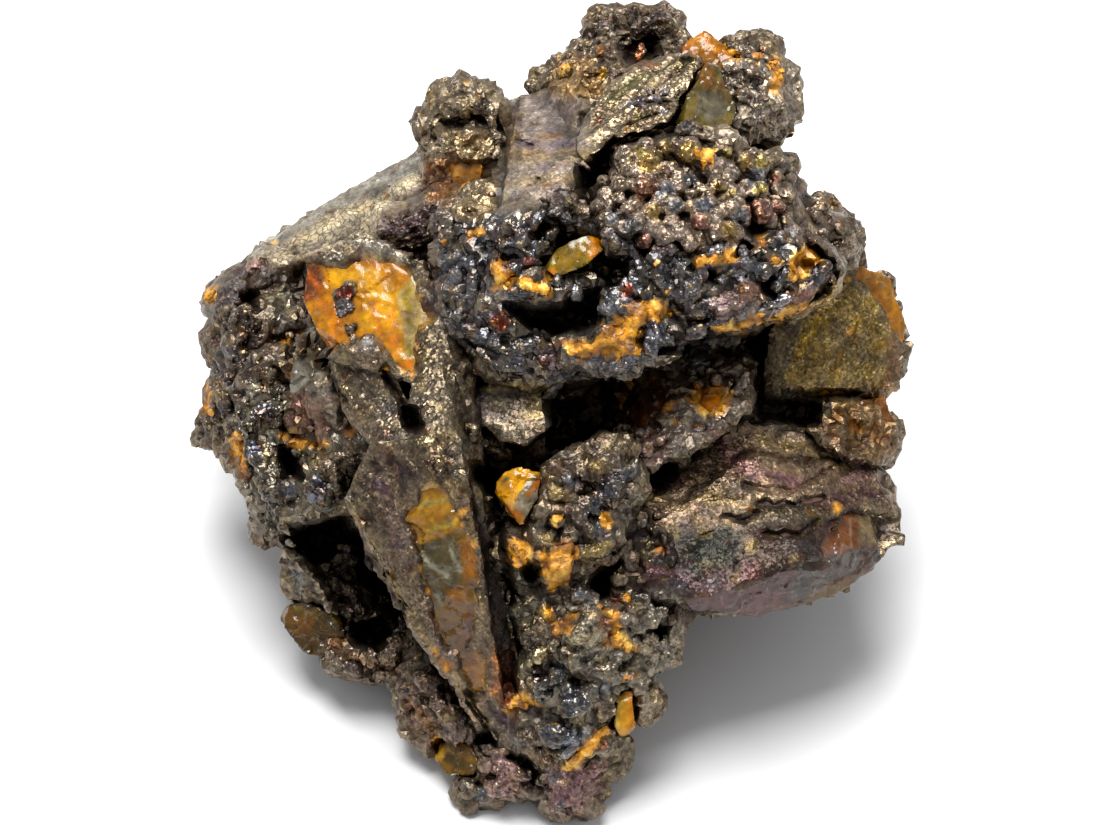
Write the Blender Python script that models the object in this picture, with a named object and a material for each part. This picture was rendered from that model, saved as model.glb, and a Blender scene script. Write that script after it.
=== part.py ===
"""A hand specimen of limonite with quartz: a dark, lumpy limonite mass that carries amber quartz crystals.

Visible forms are placed by where they show on the picture, in its pixels, and by how far they stand
towards the viewer, in millimetres. Hidden forms are placed in the specimen's own frame: the origin is the
middle of the flat spot that it rests on, +X is the viewer's right, +Y is away and +Z is up.
"""

import math
import random

import bmesh
import bpy
from mathutils import Euler, Matrix, Vector, noise

MM = 0.001

# Driving dimensions
SPECIMEN_WIDTH = 61.0 * MM
SIGHT_DROP = math.radians(45.0)  # how steeply the line of sight looks down
EYE_DISTANCE = 260.0 * MM
MIDDLE_HEIGHT = 22.0 * MM  # the picture plane's middle over the resting surface
MIDDLE_DEPTH = -5.0 * MM
SOCKET_GAP = 0.3 * MM  # between a crystal and the limonite round it
FUSE_VOXEL = 0.62 * MM
ROUGHNESS_DEPTH = 0.55 * MM
LUMP_TRIANGLES = 9000
MASS_TRIANGLES = 7150  # with the coated crystals fused on

# The picture, in pixels
SPECIMEN_ON_PICTURE = 716
PICTURE_MIDDLE = (550, 412)

PIXEL = SPECIMEN_WIDTH / SPECIMEN_ON_PICTURE
MIDDLE = Vector((0.0, MIDDLE_DEPTH, MIDDLE_HEIGHT))
RIGHT = Vector((1, 0, 0))
UP = Vector((0, math.sin(SIGHT_DROP), math.cos(SIGHT_DROP)))
NEARER = Vector((0, -math.cos(SIGHT_DROP), math.sin(SIGHT_DROP)))

# Rounded bulk: middle and half sizes in millimetres, in the specimen's own frame
BULK = {
    "core": ((1, 1, 14), (18, 14, 12.5)),
    "upper_core": ((5, 11, 27), (14, 11, 12)),
    "top_shoulder": ((8, 17, 35), (9, 8, 7)),
    "brow": ((5, 2, 31), (15, 9, 7)),
    "right_brow": ((15, 7, 28), (8, 7, 7)),
    "left_core": ((-12, 4, 19), (11, 12, 9)),
    "right_core": ((16, 4, 19), (11, 11, 8)),
    "resting_foot": ((0, 0, 2.2), (9.5, 8, 4.5)),
    "front_foot": ((-1, -22, 5), (7, 8, 6)),
    "front_slope": ((0, -14, 11), (12, 9, 9)),
    "back_foot": ((6, 12, 5), (8, 6, 6)),
    "left_under": ((-16, -3, 9), (8, 8, 6)),
    "back_foot_left": ((-9, 9, 5), (7, 6, 6)),
    "back_foot_right": ((15, 7, 6), (6, 6, 7)),
}

# Lumps that show: picture x and y, height towards the viewer and radius in millimetres
LUMPS = {
    "botryoidal_cap": [
        (640, 165, 10, 2.4), (665, 150, 9.5, 2.0), (690, 150, 9, 2.2), (715, 152, 8, 2.0),
        (612, 205, 10.5, 2.3), (640, 195, 11, 2.2), (665, 190, 11, 2.2), (690, 185, 10.5, 2.0),
        (715, 180, 9.5, 2.0), (740, 170, 8, 2.0), (765, 175, 6.5, 2.0), (640, 225, 12, 2.2),
        (665, 215, 12, 2.0), (690, 215, 12, 2.3), (715, 210, 11, 2.0), (740, 205, 9.5, 2.2),
        (765, 208, 7.5, 2.6), (782, 195, 5, 2.0), (660, 240, 12.5, 2.0), (690, 240, 12.5, 2.2),
        (720, 235, 12, 2.0), (745, 235, 10, 2.0), (770, 235, 8.5, 2.0), (618, 235, 12, 2.0),
    ],
    "belt_right": [
        (795, 235, 6.5, 2.0), (815, 225, 4.5, 2.2), (840, 240, 3, 2.0), (790, 262, 9, 2.2),
        (818, 272, 8.5, 2.4), (762, 265, 10.5, 2.2), (735, 270, 11.5, 2.4), (705, 265, 12, 2.2),
        (680, 262, 12.5, 2.2), (655, 275, 12.5, 2.4), (690, 285, 12.5, 2.2), (735, 300, 11.5, 2.6),
        (765, 297, 10.5, 2.2), (790, 295, 9.5, 1.8), (715, 308, 11.5, 1.8),
    ],
    "belt_middle": [
        (625, 318, 13, 2.4), (600, 340, 12.5, 1.8), (575, 348, 12, 1.5), (608, 352, 12.5, 1.8),
        (635, 342, 13, 2.0), (655, 335, 12.5, 1.9), (640, 305, 13, 2.0), (625, 365, 12, 1.2),
    ],
    "belt_left": [
        (455, 225, 7, 1.8), (475, 225, 9, 2.0), (508, 232, 11.5, 2.3), (532, 224, 11, 1.8),
        (488, 242, 10.5, 2.0), (455, 255, 8.5, 2.0), (475, 265, 10, 2.2), (505, 270, 11.5, 2.0),
        (532, 258, 12, 1.6), (530, 287, 12.5, 1.9), (560, 290, 12.5, 1.6), (583, 285, 12, 1.4),
        (500, 295, 11.5, 2.2), (470, 290, 10, 2.2), (455, 285, 9, 1.8), (480, 320, 10.5, 2.6),
        (510, 325, 11, 2.6), (465, 312, 9.5, 2.0), (500, 350, 10.5, 2.4), (525, 350, 10.5, 2.4),
        (545, 340, 10.5, 2.0), (515, 370, 10, 1.8), (540, 368, 10, 1.6), (562, 360, 10.5, 1.2),
    ],
    "column_base": [(560, 205, 8.5, 2.2), (538, 208, 9, 2.0), (580, 215, 9.5, 1.8), (570, 182, 7.5, 2.0)],
    "top_crown": [
        (606, 34, -9, 2.2), (604, 58, -8, 2.2), (633, 28, -9, 2.2), (657, 28, -9, 2.2),
        (670, 46, -8, 1.8), (650, 55, -9, 1.8), (600, 82, -7, 2.2), (630, 72, -7, 2.0),
        (566, 72, -8, 1.9), (552, 86, -8, 1.8), (580, 58, -8.5, 1.8), (590, 88, -6, 2.0),
    ],
    "top_right_knob": [
        (736, 56, -5, 2.0), (756, 62, -4.5, 2.4), (773, 85, -4, 2.2), (778, 110, -3.5, 2.2),
        (760, 110, -1.5, 2.6), (745, 90, -2, 2.4), (765, 126, -3, 1.8), (740, 122, 0, 2.2),
    ],
    "left_knob": [
        (460, 108, -3, 2.8), (477, 118, -2.5, 2.6), (470, 146, -1.5, 2.6), (489, 150, -2, 2.2),
        (438, 128, -3.5, 2.2),
    ],
    "back_knobs": [(400, 228, -1, 2.2), (388, 230, -1.5, 1.8), (418, 216, -1.5, 2.0), (438, 222, 0, 2.0)],
    "left_spikes": [
        (225, 300, -11, 2.2), (245, 288, -12, 2.4), (275, 278, -9, 2.6), (250, 312, -9, 3.0),
        (237, 338, -9.5, 2.6), (265, 330, -6, 3.0), (250, 360, -6, 3.0), (228, 388, -8, 2.2),
        (216, 414, -9, 1.8), (240, 402, -5, 2.8), (236, 432, -7, 2.0), (248, 458, -6, 2.0),
    ],
    "left_cluster": [
        (275, 380, -1, 2.6), (256, 404, -2, 2.2), (275, 420, 0.5, 2.4), (256, 448, -1.5, 2.3),
        (275, 450, 1, 2.4), (266, 480, 0, 2.2), (290, 475, 2, 2.4), (310, 482, 3, 2.2),
        (330, 472, 4, 2.2), (320, 497, 3.5, 1.8), (336, 500, 3.5, 1.4), (276, 507, 0, 2.0),
        (270, 528, -1.5, 1.8), (300, 505, 2, 1.8), (350, 455, 5, 2.2), (365, 446, 6, 1.9),
        (345, 425, 5, 2.0), (340, 395, 5, 2.2),
    ],
    "left_hollow": [
        (325, 590, -5, 2.8), (355, 602, -5, 2.8), (345, 627, -4, 2.4), (310, 572, -4.5, 2.2),
        (375, 600, -6, 2.6), (345, 655, -2, 2.0), (366, 663, -2, 1.7), (395, 655, -1, 2.2),
        (415, 640, 0, 2.2), (385, 635, -2, 2.4),
    ],
    "foot_left": [
        (430, 682, 2, 2.6), (450, 700, 2.5, 2.6), (424, 718, 0.6, 2.0), (436, 740, 1.4, 1.6),
        (470, 715, 3, 2.4), (457, 732, 2.4, 2.0), (412, 692, -1, 2.0),
    ],
    "foot_front": [
        (518, 770, 4.2, 2.4), (500, 765, 4, 2.2), (490, 788, 3.2, 1.8), (472, 788, 3.4, 1.6),
        (538, 772, 4.2, 2.0), (576, 792, 4.4, 2.0), (563, 802, 4.6, 1.5),
    ],
    "lower_mass": [
        (535, 600, 8, 2.2), (560, 595, 8.5, 2.2), (590, 600, 9, 2.2), (620, 600, 9, 2.4),
        (643, 613, 8, 2.4), (663, 625, 6.5, 1.8), (664, 648, 5, 1.8), (640, 650, 7, 2.0),
        (615, 630, 9, 2.2), (585, 625, 9.5, 2.2), (555, 625, 9, 2.0), (545, 655, 8.5, 1.6),
        (575, 650, 9, 1.8), (600, 655, 9, 2.0), (535, 680, 7.5, 1.8), (555, 685, 8, 2.0),
        (580, 695, 8, 2.2), (600, 680, 8.5, 1.6), (625, 678, 8, 1.9), (638, 700, 6, 1.8),
        (608, 705, 7.5, 1.8), (545, 715, 7, 2.4), (575, 725, 7, 2.6), (600, 735, 5.5, 2.2),
        (560, 750, 5.8, 2.6), (588, 765, 4.8, 2.2), (560, 777, 4.6, 2.2), (612, 752, 4, 1.8),
    ],
    "middle_branch": [
        (585, 470, 10, 2.4), (610, 455, 10.5, 2.2), (615, 485, 10.5, 2.3), (590, 500, 11, 2.4),
        (560, 485, 11, 2.0), (550, 508, 12, 1.7), (575, 530, 11, 2.6), (600, 530, 10.5, 2.4),
        (557, 560, 11, 2.0), (514, 550, 10.5, 1.8), (540, 535, 11, 1.4), (600, 570, 9, 2.2),
        (625, 530, 8.5, 2.2), (525, 580, 8, 1.8), (575, 577, 9.5, 1.8), (640, 575, 8.5, 1.8),
    ],
}
LUMP_SINK = 0.55  # how far a lump's middle lies under its stated height, in radii

# Limonite-coated crystals, fused to the mass: the face that shows, its depth and how much the back narrows
COATED_SLABS = {
    "back_plate": (
        [(212, 288, -14), (250, 252, -15), (300, 219, -15.5), (360, 184, -16), (422, 158, -16),
         (512, 98, -14), (524, 130, -9), (480, 205, -6), (400, 262, -6), (300, 300, -8), (236, 322, -11)],
        7, 0.8,
    ),
    "column": (
        [(520, 97, -5), (545, 90, -5.5), (578, 112, -3.5), (586, 175, 4), (590, 222, 8), (545, 226, 9),
         (500, 216, 7), (512, 150, 1)],
        9, 0.85,
    ),
    "column_side": ([(500, 103, -6), (519, 96, -5.5), (516, 160, 0), (500, 212, 5), (490, 205, 3)], 8, 0.8),
    "slanted_plate": (
        [(577, 150, 6), (585, 168, 7), (613, 157, 8), (664, 127, 7), (684, 96, 5), (706, 58, 2.2),
         (690, 52, 1), (640, 61, 0.5), (612, 84, 1), (598, 101, 2), (580, 126, 4)],
        2.8, 0.9,
    ),
    "slanted_plate_root": ([(600, 108, 1), (640, 70, 0), (690, 60, 0), (700, 100, 2), (650, 130, 4)], 9, 0.9),
    "striated_prism": ([(452, 226, 5), (462, 190, 1), (478, 176, -1), (496, 184, 2), (494, 226, 8)], 7, 0.8),
    "shield": (
        [(476, 386, 8), (492, 382, 8.5), (548, 386, 8.5), (552, 424, 10), (524, 446, 10.5), (500, 440, 10),
         (478, 418, 9)],
        7, 0.8,
    ),
    "shield_ledge": ([(472, 426, 7), (482, 432, 8), (514, 452, 8.5), (512, 460, 8), (476, 444, 7)], 5, 0.8),
    "wedge_side": ([(426, 322, 10), (448, 320, 10), (472, 372, 9), (484, 470, 10), (462, 482, 12),
                    (430, 470, 12.5), (402, 436, 11)], 8, 0.85),
    "wedge_foot": ([(326, 362, 6.5), (384, 356, 8.5), (404, 396, 10), (404, 436, 11), (372, 446, 10),
                    (348, 420, 8)], 7, 0.85),
    "dark_prism": (
        [(493, 646, 8), (517, 641, 7.5), (519, 742, 2.4), (512, 754, 2.0), (502, 752, 2.4), (492, 700, 5)],
        6, 0.75,
    ),
    "blade_flank": ([(472, 476, 11), (500, 520, 9), (520, 600, 7.5), (521, 645, 6.5), (506, 650, 8),
                     (488, 640, 9.5)], 8, 0.8),
    "right_peak": (
        [(800, 208, 1), (822, 194, -2), (832, 192, -3), (842, 206, -3), (848, 238, -2), (868, 264, -3),
         (850, 268, 2), (812, 246, 5), (790, 232, 5)],
        8, 0.85,
    ),
    "belt_block": ([(668, 308, 12.5), (702, 300, 12), (704, 318, 12), (698, 338, 11.5), (668, 336, 11.5)], 6, 0.9),
    "purple_cube": ([(736, 284, 12.4), (750, 280, 12.2), (760, 292, 12), (752, 304, 12), (736, 300, 12.2)], 4, 0.9),
    "hollow_plate": ([(283, 545, -1.5), (296, 552, -1.5), (338, 612, -1.5), (338, 628, -2), (300, 604, -3),
                      (284, 590, -3)], 4, 0.8),
    "hollow_wall": ([(300, 560, -6), (340, 545, -8), (392, 600, -8), (405, 650, -4), (345, 640, -4)], 6, 0.9),
    "right_back_blade": ([(745, 152, -3), (764, 140, -6), (786, 172, -7), (792, 206, -7), (800, 225, -4),
                          (770, 215, -1)], 7, 0.8),
    "cavity_blade": ([(556, 384, 8), (586, 360, 9), (604, 362, 9.5), (596, 380, 8), (560, 398, 7)], 4, 0.8),
    "left_point": ([(194, 444, -10), (204, 404, -9), (226, 380, -7), (240, 420, -5), (222, 446, -8)], 5, 0.8),
    "left_corner": ([(203, 294, -12.5), (222, 280, -13), (262, 252, -13), (250, 300, -10), (212, 318, -11)], 6, 0.8),
    "crown_left": ([(546, 76, -8), (574, 50, -9), (592, 42, -9), (598, 84, -6), (570, 96, -6)], 6, 0.8),
}

# Coated crystals on the side that does not show: base, tip, width and thickness in millimetres
BACK_PRISMS = {
    "back_long": ((-4, 12, 20), (-14, 27, 15), 8.5, 6.0),
    "back_high": ((6, 16, 28), (13, 28, 30), 8.0, 6.5),
    "back_low": ((8, 8, 12), (20, 22, 8), 8.5, 6.5),
    "back_left": ((-12, 6, 14), (-23, 13, 9), 8.0, 5.5),
    "back_middle": ((2, 10, 18), (4, 28, 15), 9.5, 7.5),
    "back_right": ((14, 6, 16), (25, 14, 14), 7.5, 5.5),
    "under_left": ((-8, -4, 9), (-20, -10, 5.5), 6.0, 4.5),
    "under_right": ((8, -6, 12), (18, -13, 6.5), 6.5, 5.0),
}
BACK_LUMPS = 84
BACK_LUMP_RADII = (1.6, 3.2)

# Quartz that shows through its coating: the face that shows, its depth and how much the back narrows
QUARTZ_SLABS = {
    "quartz_wedge_left": (
        [(287, 264, 4.5), (330, 256, 5.5), (372, 243, 6.0), (418, 269, 7.5), (446, 321, 9.5),
         (419, 380, 10.2), (384, 352, 9), (326, 353, 7.5)],
        7.5, 0.8,
    ),
    "quartz_blade_front": (
        [(350, 497, 9.5), (377, 446, 11.5), (431, 441, 13), (464, 478, 13.8), (484, 600, 11.4),
         (499, 690, 7.4), (508, 740, 4.2), (499, 738, 4.2), (440, 655, 7.4), (398, 590, 9)],
        5.5, 0.86,
    ),
    "quartz_crystal_right": (
        [(628, 530, 8.5), (646, 488, 4), (742, 427, 2), (800, 434, 0), (862, 455, -2), (886, 488, -3),
         (899, 538, 1), (870, 572, 3), (830, 597, 4.5), (758, 620, 6), (690, 622, 6.5), (640, 600, 8.5),
         (800, 561, 8.5), (700, 597, 10)],
        7, 0.8,
    ),
    "quartz_plate_right": (
        [(757, 372, 1), (776, 330, 1.5), (830, 276, 0), (862, 264, -1.5), (890, 277, -3), (906, 324, -4.5),
         (900, 362, -4), (896, 382, -4.5), (878, 391, -3.5), (820, 396, 0), (788, 390, 1)],
        4.5, 0.85,
    ),
    "quartz_in_hollow": (
        [(612, 408, 2), (640, 366, 2), (694, 348, 3), (738, 352, 4), (754, 380, 5), (742, 406, 7),
         (700, 440, 8.8), (652, 464, 9), (630, 446, 8), (636, 428, 6)],
        5.5, 0.85,
    ),
    "quartz_small_right": (
        [(812, 428, 1.5), (838, 405, 0), (866, 400, -1), (884, 396, -2), (895, 420, -2), (892, 448, -2),
         (886, 461, -2.5), (868, 455, 0), (842, 450, 1.5)],
        5, 0.8,
    ),
    "quartz_wedge_top": (
        [(672, 124, 6.2), (690, 92, 4.6), (710, 55, 2.4), (717, 60, 2.0), (736, 108, 2.0), (730, 126, 3),
         (706, 136, 5)],
        3.4, 0.8,
    ),
    "quartz_peak_top": (
        [(676, 52, -2.8), (701, 22, -4.5), (719, 44, -3.5), (740, 62, -3.2), (740, 88, -3.2), (722, 86, -3),
         (700, 60, -2.8)],
        3.6, 0.75,
    ),
    "quartz_chip_left": (
        [(277, 616, -3.5), (288, 600, -3.5), (318, 604, -2.6), (340, 618, -2), (346, 640, -2), (330, 657, -2.5),
         (308, 655, -2.8), (290, 636, -3.2)],
        4, 0.75,
    ),
    "quartz_chip_foot": (
        [(434, 757, 2.0), (441, 738, 2.2), (468, 742, 3.4), (480, 758, 4), (474, 776, 4), (446, 775, 3)],
        3.4, 0.75,
    ),
    "quartz_under_knob": (
        [(424, 148, -4), (446, 150, -2), (490, 162, -0.5), (486, 178, -0.5), (458, 206, -1), (430, 196, -3.5)],
        4, 0.75,
    ),
    "quartz_point_middle": (
        [(491, 487, 10.8), (505, 472, 10.8), (522, 469, 11), (543, 473, 11.4), (538, 500, 12.6),
         (522, 524, 12), (508, 516, 11.4)],
        4, 0.75,
    ),
    "quartz_needle": (
        [(615, 694, 8.6), (622, 689, 8.8), (633, 691, 8.6), (635, 729, 7.6), (623, 741, 7.0), (615, 729, 7.4)],
        2.6, 0.8,
    ),
    "quartz_chip_belt": (
        [(541, 266, 12.4), (556, 248, 12.6), (582, 234, 12.6), (601, 234, 12.4), (603, 250, 13.2),
         (582, 266, 13.8), (556, 277, 13.6)],
        3.2, 0.75,
    ),
}

# Quartz crystals with six sides and a point: base, tip, width and thickness in millimetres
QUARTZ_PRISM_LEFT = ((322, 462, 1.5), (302, 336, 1.5), 3.9, 3.2)  # on the picture
QUARTZ_BACK_PRISMS = {
    "quartz_point_back": ((12, 13, 20), (21, 25, 18), 6.0, 5.2),
    "quartz_point_back_low": ((-4, 12, 10), (-11, 25, 7), 5.6, 4.8),
}

MATERIALS = {
    "limonite": ((0.17, 0.13, 0.11), 0.5, 0.35),
    "quartz": ((0.80, 0.45, 0.08), 0.15, 0.0),
}


def seen(x, y, toward):
    """The point that shows at picture position x, y and stands `toward` millimetres nearer than its plane."""
    nearer = toward * MM
    reach = PIXEL * (1 - nearer / EYE_DISTANCE)
    right = (x - PICTURE_MIDDLE[0]) * reach
    up = (PICTURE_MIDDLE[1] - y) * reach
    return MIDDLE + right * RIGHT + up * UP + nearer * NEARER


def placed(point):
    """A point given in millimetres in the specimen's own frame."""
    return Vector(point) * MM


def slab_corners(face, depth, taper):
    """Corners of a crystal that shows `face`, and narrows by `taper` over its depth in millimetres."""
    front = [seen(*corner) for corner in face]
    middle = sum(front, Vector()) / len(front)
    back = [middle + (corner - middle) * taper - NEARER * depth * MM for corner in front]
    return front + back


def prism_corners(base, tip, width, thickness):
    """Corners of a six-sided quartz crystal that ends in a point at `tip`."""
    along = tip - base
    turn = along.to_track_quat("Z", "Y").to_matrix()
    shoulder = base + along * (1 - 0.6 * width * MM / along.length)
    corners = [tip]
    for step in range(6):
        angle = math.radians(60 * step + 15)
        rim = turn @ Vector((math.cos(angle) * width * MM / 2, math.sin(angle) * thickness * MM / 2, 0))
        corners += [base + rim, shoulder + rim * 0.94]
    return corners


def grown(corners, gap):
    """The same corners, each spread far enough that every face of their hull moves out by at least `gap`."""
    reach = gap * math.sqrt(3)
    steps = [Vector(step) * reach for step in ((1, 0, 0), (-1, 0, 0), (0, 1, 0), (0, -1, 0), (0, 0, 1), (0, 0, -1))]
    return [corner + step for corner in corners for step in steps]


def hull_mesh(name, corners):
    """The closed mesh with flat faces that wraps the corners."""
    shape = bmesh.new()
    for corner in corners:
        shape.verts.new(corner)
    wrapped = bmesh.ops.convex_hull(shape, input=shape.verts)
    spare = {item for item in wrapped["geom_interior"] + wrapped["geom_unused"] if item.is_valid}
    bmesh.ops.delete(shape, geom=[item for item in spare if isinstance(item, bmesh.types.BMVert)])
    bmesh.ops.dissolve_limit(shape, angle_limit=math.radians(2), verts=shape.verts, edges=shape.edges)
    bmesh.ops.triangulate(shape, faces=shape.faces)
    bmesh.ops.recalc_face_normals(shape, faces=shape.faces)
    mesh = bpy.data.meshes.new(name)
    shape.to_mesh(mesh)
    shape.free()
    return mesh


def add_object(name, mesh, collection=None):
    made = bpy.data.objects.new(name, mesh)
    (collection or bpy.context.scene.collection).objects.link(made)
    return made


def hide_tool(tool):
    tool.hide_render = True
    tool.display_type = "WIRE"


def baked_mesh(made):
    """The object's mesh with its modifiers worked in."""
    graph = bpy.context.evaluated_depsgraph_get()
    return bpy.data.meshes.new_from_object(made.evaluated_get(graph))


def all_lumps():
    """Middle, radius and unequal scale of every rounded lump, in metres."""
    draw = random.Random(7)
    for middle, radii in BULK.values():
        yield placed(middle), placed(radii), Euler((0, 0, 0))
    for cluster in LUMPS.values():
        for x, y, toward, radius in cluster:
            size = [radius * draw.uniform(0.85, 1.2) * MM for _ in range(3)]
            turn = Euler([draw.uniform(0, math.tau) for _ in range(3)])
            yield seen(x, y, toward - LUMP_SINK * radius), size, turn
    for index in range(BACK_LUMPS):
        yield back_lump(index, draw)


def back_lump(index, draw):
    """A lump on the back, or anywhere on the underside, on an even spiral round the bulk."""
    middle = Vector((1, 5, 19)) * MM
    spread = Vector((20, 17, 16)) * MM
    height = 0.92 - 1.84 * (index + 0.5) / BACK_LUMPS
    turn = math.tau if height < -0.35 else math.pi * 0.95
    angle = math.radians(8) + turn * ((index * 0.618034) % 1.0)
    ring = math.sqrt(1 - height * height)
    out = Vector((math.cos(angle) * ring, math.sin(angle) * ring, height))
    radius = draw.uniform(*BACK_LUMP_RADII) * MM
    place = middle + Vector(out[axis] * spread[axis] for axis in range(3))
    size = [radius * draw.uniform(0.8, 1.25) for _ in range(3)]
    return place, size, Euler([draw.uniform(0, math.tau) for _ in range(3)])


def roughen(mesh):
    """Moves each point along its normal by a coarse and a fine fractal noise."""
    moved = []
    for vertex in mesh.vertices:
        spot = vertex.co / MM
        coarse = noise.fractal(spot * 0.22, 0.9, 2.1, 4)
        fine = noise.fractal(spot * 0.75 + Vector((31, 7, 3)), 0.8, 2.0, 3)
        moved.extend(vertex.co + vertex.normal * ROUGHNESS_DEPTH * (0.9 * coarse + 0.55 * fine))
    mesh.vertices.foreach_set("co", moved)
    mesh.update()


def lump_mesh():
    """The rounded lumps fused into one rough body, then thinned to a few thousand triangles."""
    joined = bmesh.new()
    for place, size, turn in all_lumps():
        matrix = Matrix.LocRotScale(place, turn, size)
        bmesh.ops.create_icosphere(joined, subdivisions=3, radius=1.0, matrix=matrix)
    loose = bpy.data.meshes.new("lumps")
    joined.to_mesh(loose)
    joined.free()
    body = add_object("lump_body", loose)
    fuse = body.modifiers.new("fuse", "REMESH")
    fuse.mode = "VOXEL"
    fuse.voxel_size = FUSE_VOXEL
    fused = baked_mesh(body)
    bpy.data.objects.remove(body)
    roughen(fused)
    return thinned(fused, LUMP_TRIANGLES)


def thinned(mesh, triangles):
    """The mesh with about that many triangles, taken where the shape loses least."""
    body = add_object("thinned_body", mesh)
    body.modifiers.new("triangles", "TRIANGULATE")
    now = len(baked_mesh(body).polygons)
    thin = body.modifiers.new("thin", "DECIMATE")
    thin.ratio = min(1.0, triangles / now)
    result = baked_mesh(body)
    bpy.data.objects.remove(body)
    return result


def tool_collection(name, meshes):
    """A collection of hidden tools, one for each mesh."""
    tools = bpy.data.collections.new(name)
    bpy.context.scene.collection.children.link(tools)
    for mesh in meshes:
        hide_tool(add_object(mesh.name, mesh, tools))
    return tools


def combined(mesh, operation, tools):
    """The mesh with every tool of the collection joined to it or cut from it."""
    body = add_object("boolean_body", mesh)
    step = body.modifiers.new(operation.lower(), "BOOLEAN")
    step.operation = operation
    step.operand_type = "COLLECTION"
    step.collection = tools
    result = baked_mesh(body)
    bpy.data.objects.remove(body)
    return result


def largest_piece(mesh):
    """Keeps the biggest connected body, and drops crumbs that the cuts set free."""
    shape = bmesh.new()
    shape.from_mesh(mesh)
    bmesh.ops.remove_doubles(shape, verts=shape.verts, dist=1e-6)
    islands = []
    waiting = set(shape.verts)
    while waiting:
        front = [waiting.pop()]
        island = list(front)
        while front:
            vertex = front.pop()
            for edge in vertex.link_edges:
                other = edge.other_vert(vertex)
                if other in waiting:
                    waiting.discard(other)
                    front.append(other)
                    island.append(other)
        islands.append(island)
    islands.sort(key=len)
    crumbs = [vertex for island in islands[:-1] for vertex in island]
    bmesh.ops.delete(shape, geom=crumbs)
    bmesh.ops.triangulate(shape, faces=shape.faces)
    shape.to_mesh(mesh)
    shape.free()
    return mesh


def ground_mesh():
    """A block under the resting surface, which cuts the underside flat."""
    shape = bmesh.new()
    size = Matrix.Diagonal((0.2, 0.2, 0.04, 1))
    bmesh.ops.create_cube(shape, size=1.0, matrix=Matrix.Translation((0, 0, -0.02)) @ size)
    mesh = bpy.data.meshes.new("ground")
    shape.to_mesh(mesh)
    shape.free()
    return mesh


def quartz_corners():
    """Every quartz crystal's name and corners."""
    found = {name: slab_corners(*slab) for name, slab in QUARTZ_SLABS.items()}
    base, tip, width, thickness = QUARTZ_PRISM_LEFT
    found["quartz_prism_left"] = prism_corners(seen(*base), seen(*tip), width, thickness)
    for name, (base, tip, width, thickness) in QUARTZ_BACK_PRISMS.items():
        found[name] = prism_corners(placed(base), placed(tip), width, thickness)
    return found


def coated_meshes():
    """Every limonite-coated crystal that is fused to the mass."""
    meshes = [hull_mesh(name, slab_corners(*slab)) for name, slab in COATED_SLABS.items()]
    for name, (base, tip, width, thickness) in BACK_PRISMS.items():
        meshes.append(hull_mesh(name, prism_corners(placed(base), placed(tip), width, thickness)))
    return meshes


def material(name):
    colour, roughness, metallic = MATERIALS[name]
    made = bpy.data.materials.new(name)
    made.use_nodes = True
    finish = made.node_tree.nodes["Principled BSDF"]
    finish.inputs["Base Color"].default_value = (*colour, 1)
    finish.inputs["Roughness"].default_value = roughness
    finish.inputs["Metallic"].default_value = metallic
    return made


def shade(mesh, finish, angle):
    mesh.materials.clear()
    mesh.materials.append(finish)
    mesh.shade_smooth()
    mesh.set_sharp_from_angle(angle=math.radians(angle))


def main():
    for old in list(bpy.data.objects):
        bpy.data.objects.remove(old)

    corners = quartz_corners()
    body = combined(lump_mesh(), "UNION", tool_collection("coated_crystals", coated_meshes()))
    body = thinned(body, MASS_TRIANGLES)
    sockets = [hull_mesh("socket_" + name, grown(points, SOCKET_GAP)) for name, points in corners.items()]
    body = combined(body, "DIFFERENCE", tool_collection("sockets", [*sockets, ground_mesh()]))
    body = largest_piece(body)
    shade(body, material("limonite"), 35)
    add_object("limonite_mass", body)

    finish = material("quartz")
    for name, points in corners.items():
        mesh = hull_mesh(name, points)
        shade(mesh, finish, 5)
        add_object(name, mesh)


main()
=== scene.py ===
import itertools
import math
import random

import bmesh
import bpy
import numpy as np
from mathutils import Euler, Matrix, Vector
from mathutils.bvhtree import BVHTree


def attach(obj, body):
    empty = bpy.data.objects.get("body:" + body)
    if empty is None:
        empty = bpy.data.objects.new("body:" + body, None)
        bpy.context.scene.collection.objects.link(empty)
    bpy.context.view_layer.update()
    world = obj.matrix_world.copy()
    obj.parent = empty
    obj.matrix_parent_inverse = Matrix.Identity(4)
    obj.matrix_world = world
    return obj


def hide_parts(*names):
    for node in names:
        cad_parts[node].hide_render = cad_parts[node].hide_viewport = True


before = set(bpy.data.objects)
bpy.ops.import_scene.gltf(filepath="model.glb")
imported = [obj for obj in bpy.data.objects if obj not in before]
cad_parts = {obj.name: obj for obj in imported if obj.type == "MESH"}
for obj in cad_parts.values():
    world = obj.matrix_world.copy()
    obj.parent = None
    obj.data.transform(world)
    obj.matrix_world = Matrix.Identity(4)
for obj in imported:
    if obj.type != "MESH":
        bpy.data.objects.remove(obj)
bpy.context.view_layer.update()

MM = 0.001

# The photograph's frame in pixels, and how the specimen sits in it
FRAME_WIDTH = 1100
FRAME_HEIGHT = 825
PICTURE_MIDDLE = (550, 412)
SPECIMEN_ON_PICTURE = 716
SPECIMEN_WIDTH = 61.0 * MM
SIGHT_DROP = math.radians(45.0)
EYE_DISTANCE = 260.0 * MM
MIDDLE = Vector((0.0, -5.0, 22.0)) * MM

PIXEL = SPECIMEN_WIDTH / SPECIMEN_ON_PICTURE
RIGHT = Vector((1, 0, 0))
UP = Vector((0, math.sin(SIGHT_DROP), math.cos(SIGHT_DROP)))
NEARER = Vector((0, -math.cos(SIGHT_DROP), math.sin(SIGHT_DROP)))
EYE = MIDDLE + NEARER * EYE_DISTANCE

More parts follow.
